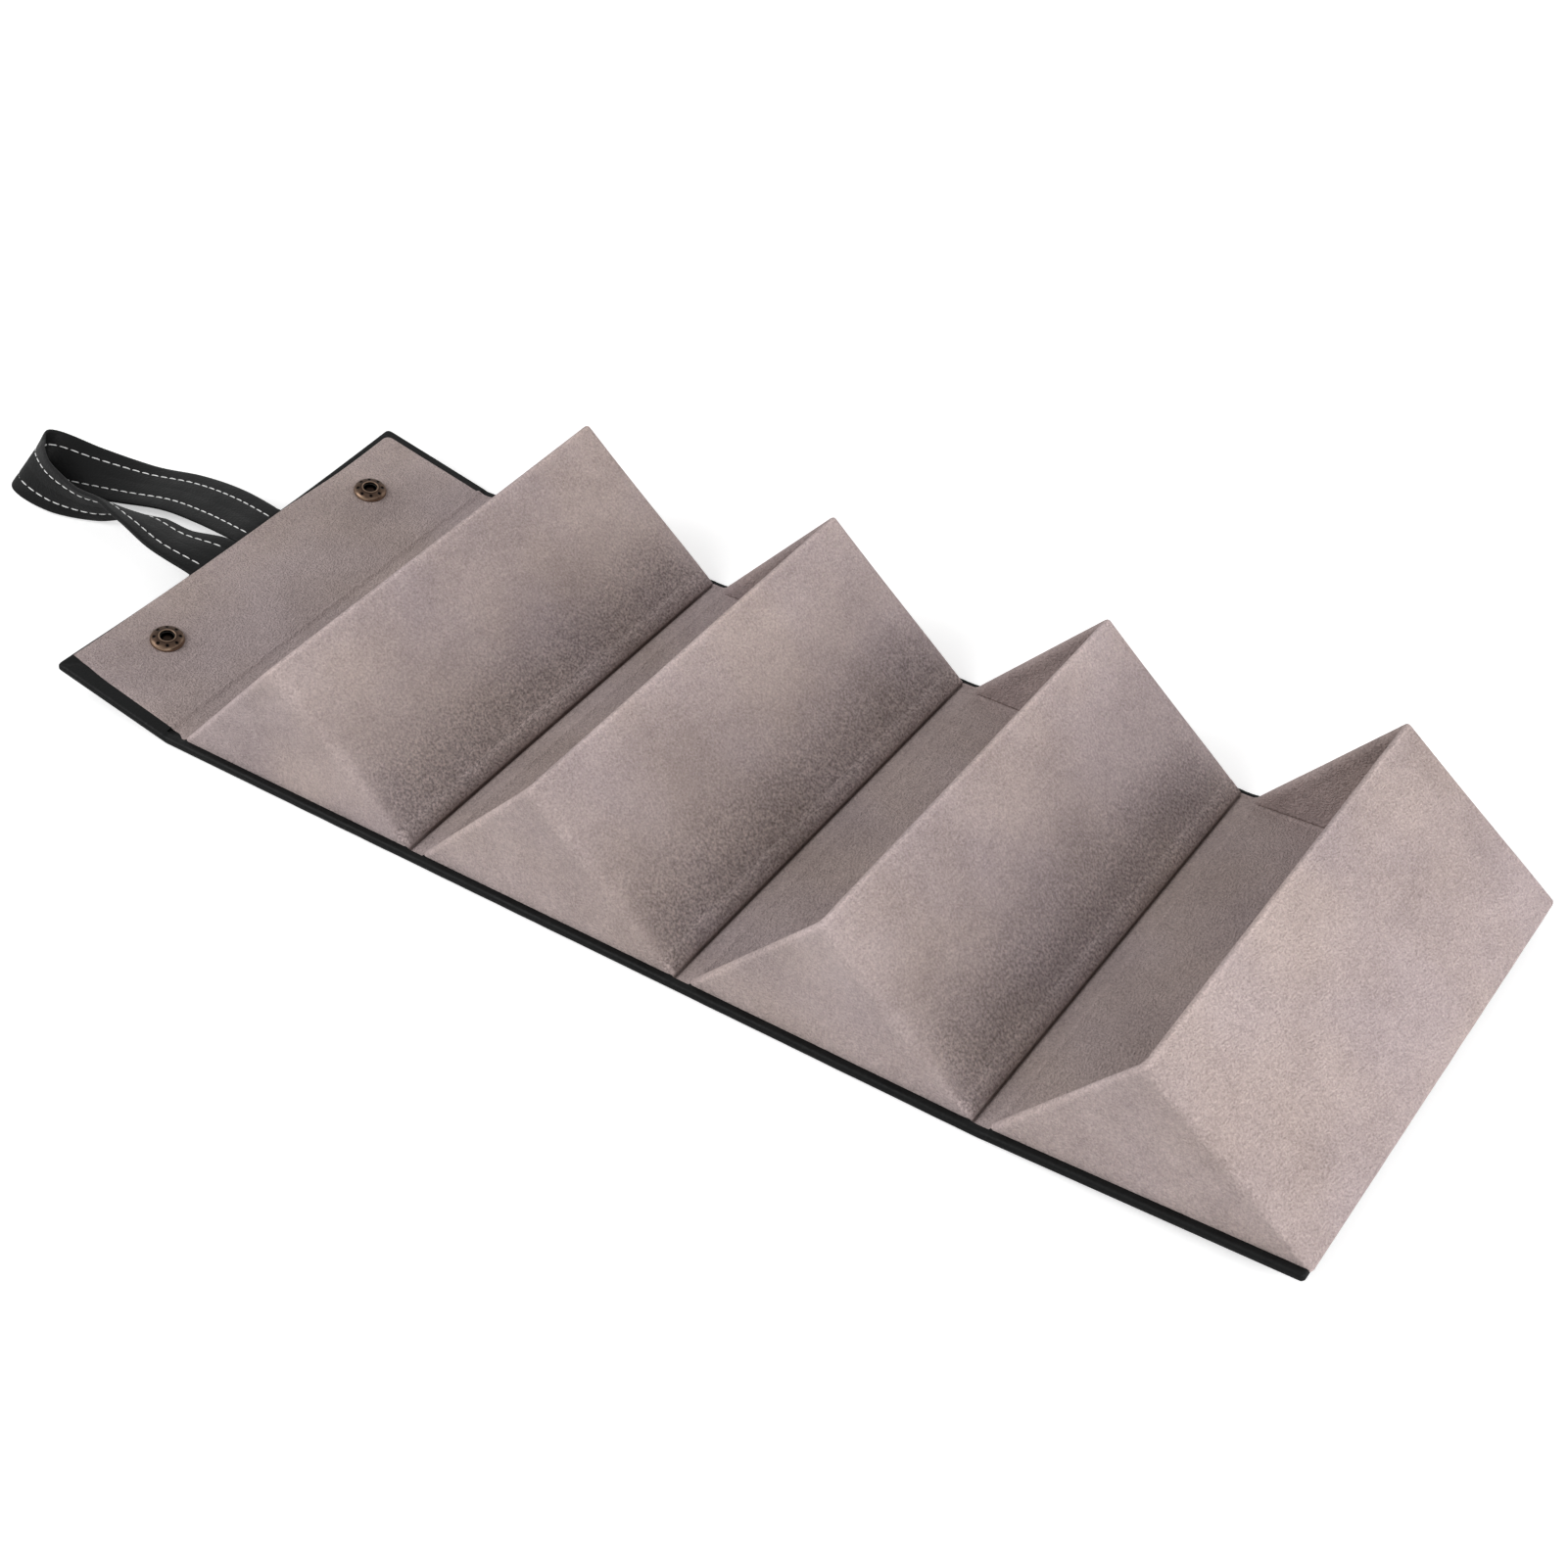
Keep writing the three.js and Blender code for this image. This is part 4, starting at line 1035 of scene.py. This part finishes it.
# Suede floors and the strips that line the folds
def add_floor(number):
    body = f"pocket_{number}"
    rows = [-y for y in FLOOR_EDGE]
    rows += [mixed(-FLAT_HALF, FLAT_HALF, k / FLOOR_ROWS) for k in range(FLOOR_ROWS + 1)]
    rows += FLOOR_EDGE[::-1]
    upper, lower = [], []
    for i in range(FLOOR_COLUMNS + 1):
        x = mixed(FLOOR_START, FLOOR_END, i / FLOOR_COLUMNS)
        at_end = eased(x, *FLOOR_END_CLIMB) if number == POCKET_COUNT else 0.0
        upper.append([])
        lower.append([])
        for y in rows:
            wave = uneven(FLOOR_WAVE, x, y, number)
            wave *= eased(x, *FLOOR_WAVE_START) * (1 - eased(abs(y), *FLOOR_WAVE_SIDE))
            climb = max(eased(abs(y), *FLOOR_SIDE_CLIMB), at_end)
            level = mixed(FLOOR_TOP, HEM_TOP + FLOOR_OVER_HEM, climb)
            upper[-1].append((x, y, level + wave))
            lower[-1].append((x, y, level - SUEDE))
    points, faces = sheet(upper, lower)
    # Tone marks paint shade along the floor's sides, where it meets the gussets
    marks = {"tone": [FLOOR_PAINTED_SHADE * eased(abs(y), *FLOOR_PAINTED_SHADE_SIDE) for _, y, _ in points]}
    piece = add_piece(f"suede_floor_{number}", points, faces, PANELS[body], SUEDE_COAT, marks=marks)
    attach(piece, body)
    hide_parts(f"floor_lining_{number}")


def roll_point(up, out):
    x = POCKET_LENGTH + up * SLOPE_X + out * SLOPE_Z
    z = SEAT + up * SLOPE_Z - out * SLOPE_X
    return x, z


def foot_corner(across):
    """Where the rounding between wall and gusset starts at its foot, and how wide it is."""
    shift, swell = (FAR_SHIFT, FAR_SWELL) if across > 0 else (0.0, NEAR_SWELL)
    stretch = 1.0 + swell / CORNER_RADIUS
    return CORNER_START + (CORNER_RADIUS - FOOT_RADIUS + shift) * stretch, FOOT_RADIUS * stretch


def on_corner(across):
    """The way across, kept off the end of the corner's rounding."""
    start, width = foot_corner(across)
    last = start + CORNER_LAST * width
    return min(max(across, -last), last)


def corner_share(across):
    start, width = foot_corner(across)
    return min(max(abs(across) - start, 0.0) / width, CORNER_LAST)


def corner_fall(across):
    """How far the wall's outer face falls back where it rounds into a gusset."""
    return FOOT_RADIUS * (1 - math.sqrt(1 - corner_share(across) ** 2))


def fold_half(x, share):
    """Half the width of a fold's lining: to the cover's edge between pockets, inside the gussets past it."""
    return mixed(FOLD_EDGES[0 if share < 0 else 1], FOLD_INSIDE, eased(x, *FOLD_NARROWS))


def fold_row(hinge, share):
    """Section of a fold's lining at a share of its half width; both its ends lie over the hems."""
    wave = uneven(FOLD_WAVE, share, hinge.fold.x)
    swell = NEAR_SWELL if share < 0 else 0.0
    foot = on_corner(fold_half(POCKET_LENGTH, share) * share)
    end = smoothstep(corner_share(foot) / CORNER_LAST)
    row = []
    for up, out, _ in ROLL:
        off = mixed(out + wave * smoothstep(out), min(out, 0.0), end)
        x, z = roll_point(up, off - corner_fall(foot))
        row.append((x, foot, z))
    for x, z, _ in FOLD_TOP:
        across = fold_half(x, share) * share
        back = 0.0
        if x < CREASE_END:
            across = on_corner(across)
            back = corner_fall(across) / SLOPE_Z if z > FOLD_RIM else 0.0
        past = abs(across) - swell
        least = mixed(CREASE_LOW, STRIP_TOP + FOLD_OVER_STRIP, eased(past, *FOLD_STRIP_CLIMB))
        ripple = eased(x, *RIPPLE_START) * (1 - eased(x, *RIPPLE_END))
        low = max(z, least) + RIPPLE * wave * ripple
        low = mixed(low, max(low, FOLD_RIM), eased(x, *FOLD_RIM_START) * eased(past, *FOLD_RIM_CLIMB))
        row.append((x - back, across, mixed(low, max(low, FAR_RIM), eased(across, *FAR_RIM_CLIMB))))
    return row


def add_fold_lining(hinge, name):
    """Suede between pockets: a roll at the wall's foot, a deep crease, a low strip and a ramp."""
    shift = POCKET_LENGTH + HALF_GAP
    upper = [fold_row(hinge, share) for share in ACROSS_SHARES]
    lower = [under_row(row) for row in upper]
    points, faces = sheet(upper, lower)
    placed = [hinge.point(x - shift, y, z) for x, y, z in points]
    # Tone marks paint shade into the crease, fading towards the fold's ends, and a highlight on the ridge of
    # the ramp
    tones = []
    for share in ACROSS_SHARES:
        fade = 1 - CREASE_SHADE_FADE * eased(abs(share), *CREASE_SHADE_FADE_ENDS)
        tones += [depth * fade for _, _, depth in ROLL + FOLD_TOP]
    # Foot marks bring the painted grain light and shade onto the roll
    feet = ([1.0] * len(ROLL) + [0.0] * len(FOLD_TOP)) * (len(upper) + len(lower))
    marks = {"tone": tones + tones, "foot": feet}
    hinge.join(add_piece(name, placed, faces, IN_METRES, SUEDE_COAT, SHARP_FOLD, marks))


def add_end_wrap():
    """Suede turned under at the free end of the last pocket, from the wall's face down."""
    upper = []
    for share in ACROSS_SHARES:
        across = on_corner(HALF_COVER * share)
        fall = corner_fall(across)
        wave = uneven(END_WAVE, share)
        row = []
        for up, out in END_WRAP:
            x, z = roll_point(up, out - fall)
            row.append((x, across, z))
        for x, z in END_TURN:
            row.append((max(x - fall / SLOPE_Z, END_INSIDE) + wave, across, z))
        upper.append(row)
    points, faces = sheet(upper, [under_row(row) for row in upper])
    piece = add_piece("suede_end_wrap", points, faces, PANELS["pocket_4"], SUEDE_COAT, SHARP_FOLD)
    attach(piece, "pocket_4")


def add_flap_fold_lining():
    """Lining that fills the low strip between the flap's board and the first pocket."""
    upper, lower = [], []
    for share in ACROSS_SHARES:
        wave = uneven(FLAP_STRIP_WAVE, share)
        wide = FLAP_STRIP_WIDE + (NEAR_SWELL if share < 0 else 0.0)
        upper.append([])
        lower.append([])
        for along, height in FLAP_STRIP:
            middle = eased(along, *FLAP_STRIP_START) * (1 - eased(along, *FLAP_STRIP_END))
            outer = mixed(FLAP_STRIP_HALF, wide, eased(along, *FLAP_STRIP_WIDENS))
            across = mixed(outer, FOLD_INSIDE, eased(along, *FLAP_STRIP_NARROWS)) * share
            high = height + wave * middle
            filled = middle * (1 - eased(abs(across), *FLAP_STRIP_RISE))
            low = mixed(high - FLAP_STRIP_THICK, FLAP_STRIP_LOW, filled)
            upper[-1].append(FLAP_HINGE.point(along, across, high))
            lower[-1].append(FLAP_HINGE.point(along, across, low))
    points, faces = sheet(upper, lower)
    FLAP_HINGE.join(add_piece("suede_fold_flap", points, faces, IN_METRES, SUEDE_COAT, SHARP_FOLD))


def flap_edge(y):
    """How far out the flap's cover reaches at a way across."""
    return FLAP_SPAN[1] - FLAP_BOWS[0 if y < 0 else 1] * (y / HALF_COVER) ** 2


def lining_reach(y):
    """How far the flap's lining runs from its fold, set back further from the edge at both sides."""
    far_back = LINING_FAR_BACK * eased(y, *LINING_FAR_SIDE)
    near_back = LINING_NEAR_BACK * eased(-y, *LINING_NEAR_SIDE)
    return flap_edge(y) + LINING_SET_BACK + far_back + near_back - LINING_START


def lining_half(share, sign):
    if sign > 0:
        return LINING_FAR_HALF
    return LINING_NEAR_HALF - LINING_TAPER * share - LINING_TUCK * eased(share, *LINING_TUCK_START)


def lining_outline(inset):
    """Outline of the flap's lining, drawn in by an inset: share of its reach, and way across."""
    run = abs(flap_edge(0.0) - LINING_START)
    far_start = LINING_FAR_HALF - LINING_CORNERS[1][1] - inset
    ring = []
    for sign, corner in LINING_CORNERS:
        radius = max(corner - inset, LINING_CORNER_LEAST)
        straight = 1 - (radius + inset) / run
        side = []
        for k in range(LINING_SIDE_STEPS):
            share = straight * k / LINING_SIDE_STEPS
            side.append((share, sign * (lining_half(share, sign) - inset)))
        last = lining_half(1.0, sign) - inset
        for k in range(LINING_ARC_STEPS + 1):
            turn = math.pi / 2 * k / LINING_ARC_STEPS
            share = 1 - (inset + radius * (1 - math.sin(turn))) / run
            side.append((share, sign * (last - radius * (1 - math.cos(turn)))))
        ring += side if sign < 0 else side[::-1]
        if sign < 0:
            near_start = side[-1][1]
            steps = range(1, LINING_END_STEPS)
            ring += [(1 - inset / run, mixed(near_start, far_start, k / LINING_END_STEPS)) for k in steps]
    return ring


def add_flap_lining():
    """Lining glued over the flap's hems, with soft edges."""
    rings = []
    for inset, z in LINING_LAYERS:
        ring = []
        for share, y in lining_outline(inset):
            along = lining_reach(y) * share
            x = LINING_START + along
            wave = uneven(LINING_WAVE, x, y) * smoothstep(-along / LINING_WAVE_RUN)
            ring.append((x, y, z + wave))
        rings.append(ring)
    points, faces = loft(rings)
    piece = add_piece("suede_flap", points, faces, PANELS["flap"], SUEDE_COAT)
    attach(piece, "flap")
    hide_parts("flap_lining")


# Strap: one band of two stitched layers, bent into a loop
STRAP_ROOT = JOINTS["strap_swing"] / MM


def strap_end(sign, depths):
    """Stations of one end of the strap, at depths inside the flap."""
    away = (PANELS["flap"].to_3x3() @ Vector((-1.0, 0.0, 0.0))).normalized()
    stations = []
    for depth in depths:
        place = STRAP_ROOT - away * depth
        middle = Vector((place.x, sign * (STRAP_HALF + STRAP_SLIT), place.z))
        stations.append((middle, Vector((0.0, sign, 0.0))))
    return stations


def strap_stations():
    """Middle points and upper-edge directions, starting and ending inside the flap."""
    stations = strap_end(1.0, STRAP_INSIDE)
    for out, across, height, upper in STRAP_ROUTE:
        stations.append((Vector((STRAP_ROOT.x - out, across, height)), Vector(upper).normalized()))
    return stations + strap_end(-1.0, STRAP_INSIDE[::-1])


def smooth_run(values):
    """Points of a smooth curve through the values, with even steps between each two."""
    run = []
    count = len(values)
    for i in range(count - 1):
        before, a, b, after = values[max(i - 1, 0)], values[i], values[i + 1], values[min(i + 2, count - 1)]
        slope_a, slope_b = (b - before) / 2, (after - a) / 2
        for k in range(STRAP_STEPS):
            t = k / STRAP_STEPS
            run.append(
                a * (2 * t**3 - 3 * t**2 + 1)
                + slope_a * (t**3 - 2 * t**2 + t)
                + b * (3 * t**2 - 2 * t**3)
                + slope_b * (t**3 - t**2)
            )
    run.append(values[-1])
    return run


def strap_frames():
    """At each step along the strap: its middle, the way across it and the way out of its face."""
    stations = strap_stations()
    middles = smooth_run([middle for middle, _ in stations])
    uppers = [upper.normalized() for upper in smooth_run([upper for _, upper in stations])]
    frames = []
    for i, middle in enumerate(middles):
        ahead = (middles[min(i + 1, len(middles) - 1)] - middles[max(i - 1, 0)]).normalized()
        upper = (uppers[i] - ahead * uppers[i].dot(ahead)).normalized()
        frames.append((middle, upper, ahead.cross(upper).normalized()))
    return frames


STRAP_FRAMES = strap_frames()


def join_strap(piece):
    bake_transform(piece)


def add_strap():
    """Band with a groove under each row of stitches and round edges."""
    half = STRAP_MIDDLE + [(STITCH_ROW + y, drop) for y, drop in STRAP_GROOVE] + STRAP_EDGE
    half = [(y, STRAP_THICK / 2 - drop) for y, drop in half]
    face = [(-y, z) for y, z in half[:0:-1]] + half
    section = face + [(y, -z) for y, z in face[-2:0:-1]]
    rings = []
    for middle, upper, out in STRAP_FRAMES:
        rings.append([middle + upper * y + out * z for y, z in section])
    points, faces = loft(rings)
    piece = add_piece("strap_band", points, faces, IN_MILLIMETRES, LEATHER_COAT, SHARP_STRAP)
    join_strap(piece)
    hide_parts("strap")


def stitch_line(row, side):
    """Row of stitches on one face of the strap: places, ways out of the face and lengths so far."""
    line = []
    for middle, upper, out in STRAP_FRAMES:
        place = middle + upper * row + out * side * (STRAP_THICK / 2 - STITCH_SUNK)
        walked = line[-1][2] + (place - line[-1][0]).length if line else 0.0
        line.append((place, out * side, walked))
    return line


def on_line(line, distance):
    """Place and way out of the face at a length along a line."""
    i = next(k for k, (_, _, walked) in enumerate(line) if walked >= distance)
    (a, out_a, start), (b, out_b, end) = line[i - 1], line[i]
    share = (distance - start) / (end - start)
    return a.lerp(b, share), out_a.lerp(out_b, share).normalized()


def stitch_rings(a, b, out):
    """A short fat stitch from one hole to the next, sunk at both ends."""
    ahead = (b - a).normalized()
    side = ahead.cross(out).normalized()
    rings = []
    for share, fat, lift in STITCH_SHAPE:
        middle = a.lerp(b, share) + out * lift
        ring = []
        for k in range(STITCH_SIDES):
            turn = 2 * math.pi * k / STITCH_SIDES
            spoke = side * math.cos(turn) + out * math.sin(turn) * STITCH_FLATNESS
            ring.append(middle + spoke * STITCH_RADIUS * fat)
        rings.append(ring)
    return rings


def add_stitches():
    points, faces = [], []
    for row in (-STITCH_ROW, STITCH_ROW):
        for side in (-1.0, 1.0):
            line = stitch_line(row, side)
            distance = STITCH_MARGIN
            while distance + STITCH_LENGTH < line[-1][2] - STITCH_MARGIN:
                (a, out), (b, _) = on_line(line, distance), on_line(line, distance + STITCH_LENGTH)
                new_points, new_faces = loft(stitch_rings(a, b, out))
                faces += [tuple(k + len(points) for k in face) for face in new_faces]
                points += new_points
                distance += STITCH_LENGTH + STITCH_GAP
    join_strap(add_piece("strap_stitches", points, faces, IN_MILLIMETRES, THREAD_COAT, SHARP_FOLD))


# Snaps
def finer(profile, step):
    """The same profile with points no further apart than a step."""
    result = [profile[0]]
    for a, b in zip(profile, profile[1:]):
        pieces = max(1, math.ceil(math.hypot(b[0] - a[0], b[1] - a[1]) / step))
        for k in range(1, pieces + 1):
            result.append(tuple(mixed(p, q, k / pieces) for p, q in zip(a, b)))
    return result


def dimple(radius, turn):
    """How deep the ring of dimples in a socket is at a radius and a turn."""
    part = 2 * math.pi / DIMPLES
    off = (turn + part / 2) % part - part / 2
    distance = math.hypot(radius * math.cos(off) - DIMPLE_CIRCLE, radius * math.sin(off))
    return DIMPLE_DEPTH * math.exp(-((distance / DIMPLE_WIDTH) ** 2))


def add_turned(name, profile, segments, place, body, node, dent=None):
    """Turned shape from a profile that starts and ends on its axis."""
    points, tones, faces = [], [], []
    count = len(profile)
    for k in range(segments):
        turn = 2 * math.pi * k / segments
        after = (k + 1) % segments
        for i, (radius, height, wear_and_painted_shade) in enumerate(profile):
            drop = dent(radius, turn) if dent else 0.0
            points.append((radius * math.cos(turn), radius * math.sin(turn), height - drop))
            # Tone marks: wear on raised edges, patina in the dimples and painted shade inside a socket's
            # hole
            tones.append(wear_and_painted_shade - DIMPLE_WEAR * drop)
            if i + 1 < count:
                faces.append((k * count + i, after * count + i, after * count + i + 1, k * count + i + 1))
    piece = add_piece(name, points, faces, place, BRASS_COAT, SHARP_SKIN, {"tone": tones})
    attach(piece, body)
    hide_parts(node)


def add_snaps(label, across):
    """Socket and cap on the flap, and the stud under the last pocket that the socket closes on."""
    socket = finer(SOCKET_PROFILE, SOCKET_STEP)
    cap = finer(CAP_PROFILE, CAP_STEP)
    stud = finer(STUD_PROFILE, STUD_STEP)
    on_flap = PANELS["flap"] @ Matrix.Translation((-SOCKET_REACH, across, SOCKET_BASE))
    under_flap = PANELS["flap"] @ Matrix.Translation((-SOCKET_REACH, across, 0.0))
    under_pocket = PANELS["pocket_4"] @ Matrix.Translation((STUD_ALONG, across, 0.0))
    add_turned(f"snap_socket_{label}", socket, SOCKET_SEGMENTS, on_flap, "flap", f"socket_{label}", dimple)
    add_turned(f"snap_cap_{label}", cap, SNAP_SEGMENTS, under_flap, "flap", f"cap_{label}")
    add_turned(f"snap_stud_{label}", stud, SNAP_SEGMENTS, under_pocket, "pocket_4", f"stud_{label}")


# The dressed case
for number in range(1, POCKET_COUNT):
    add_cover_panel(number)
add_cover_tray("leather_cover_4", "pocket_4", "cover_4", *END_SPAN, END_CORNER, HEM_REACH, END_BOWS, END_CUT)
add_cover_tray("leather_flap", "flap", "flap_cover", *FLAP_SPAN, FLAP_CORNER, FLAP_HEM, FLAP_BOWS, 0.0)
add_leather_strip(FLAP_HINGE, "leather_fold_flap", FLAP_SEAT)
for number, hinge in enumerate(POCKET_HINGES, 1):
    add_leather_strip(hinge, f"leather_fold_{number}", STRIP_TOP)
for number in range(1, POCKET_COUNT + 1):
    add_pocket_skin(number)
for number in range(1, POCKET_COUNT + 1):
    add_floor(number)
for number, hinge in enumerate(POCKET_HINGES, 1):
    add_fold_lining(hinge, f"suede_fold_{number}")
add_end_wrap()
add_flap_fold_lining()
add_flap_lining()
add_strap()
add_stitches()
add_snaps("near", -SNAP_ACROSS)
add_snaps("far", SNAP_ACROSS)

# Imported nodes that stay: boards, strap ends, stud posts and socket springs
for name, node in frame["nodes"].items():
    for key, look in NODE_LOOKS.items():
        if key in name:
            node.material_slots[0].material = look


# Floor, light and camera
def add_floor_plane():
    """White floor that glows a little more with distance, as in a photo on white."""
    half, level = STAGE_HALF, STAGE_LEVEL
    corners = [(-half, -half, level), (half, -half, level), (half, half, level), (-half, half, level)]
    mesh = bpy.data.meshes.new("studio_floor")
    mesh.from_pydata(corners, [], [(0, 1, 2, 3)])
    material, tree, shader = material_with("studio_floor_white")
    where = add_node(tree, "ShaderNodeNewGeometry").outputs["Position"]
    away = add_node(tree, "ShaderNodeVectorMath", {0: where}, operation="LENGTH").outputs["Value"]
    path = add_node(tree, "ShaderNodeLightPath").outputs["Is Camera Ray"]
    seen = calculated(tree, "MULTIPLY", path, remapped(tree, away, STAGE_GLOW))
    set_inputs(tree, shader, {"Emission Strength": seen, **STAGE_SURFACE})
    mesh.materials.append(material)
    floor = bpy.data.objects.new("studio_floor", mesh)
    bpy.context.scene.collection.objects.link(floor)


def add_world():
    """White surroundings, bright where they are seen or mirrored and dim where they light the case."""
    world = bpy.data.worlds.new("studio_world")
    bpy.context.scene.world = world
    world.use_nodes = True
    tree = world.node_tree
    path = add_node(tree, "ShaderNodeLightPath")
    seen = calculated(tree, "MAXIMUM", path.outputs["Is Camera Ray"], path.outputs["Is Glossy Ray"])
    seen = calculated(tree, "MAXIMUM", seen, path.outputs["Is Transmission Ray"])
    strength = remapped(tree, seen, {"To Min": AMBIENT, "To Max": 1.0})
    set_inputs(tree, tree.nodes["Background"], {"Color": WHITE, "Strength": strength})


def add_lamp(name, heading, height, power):
    """Square soft box at a heading from +X and a height above the floor, both in degrees."""
    lamp = bpy.data.lights.new(name, "AREA")
    lamp.size = LAMP_SIDE
    lamp.energy = power
    turn, rise = math.radians(heading), math.radians(height)
    away = Vector((math.cos(turn) * math.cos(rise), math.sin(turn) * math.cos(rise), math.sin(rise)))
    holder = bpy.data.objects.new(name, lamp)
    holder.location = LAMP_AIM + away * LAMP_DISTANCE
    holder.rotation_euler = (-away).to_track_quat("-Z", "Y").to_euler()
    bpy.context.scene.collection.objects.link(holder)


def add_camera():
    level = math.cos(CAMERA_DIP)
    aside, onward = math.sin(CAMERA_HEADING) * level, math.cos(CAMERA_HEADING) * level
    ahead = Vector((aside, onward, -math.sin(CAMERA_DIP)))
    flat = ahead.cross(Vector((0, 0, 1))).normalized()
    down = ahead.cross(flat).normalized()
    right = flat * math.cos(CAMERA_ROLL) + down * math.sin(CAMERA_ROLL)
    up = right.cross(ahead)
    data = bpy.data.cameras.new("photo_camera")
    data.sensor_width = CAMERA_SENSOR
    data.lens = CAMERA_LENS
    data.clip_start, data.clip_end = CAMERA_CLIP
    camera = bpy.data.objects.new("photo_camera", data)
    turn = Matrix((right, up, -ahead)).transposed()
    camera.matrix_world = Matrix.Translation(CAMERA_PLACE) @ turn.to_4x4()
    bpy.context.scene.collection.objects.link(camera)
    bpy.context.scene.camera = camera


add_floor_plane()
add_world()
for lamp in LAMPS:
    add_lamp(*lamp)
add_camera()
bpy.context.scene.view_settings.view_transform = "Standard"
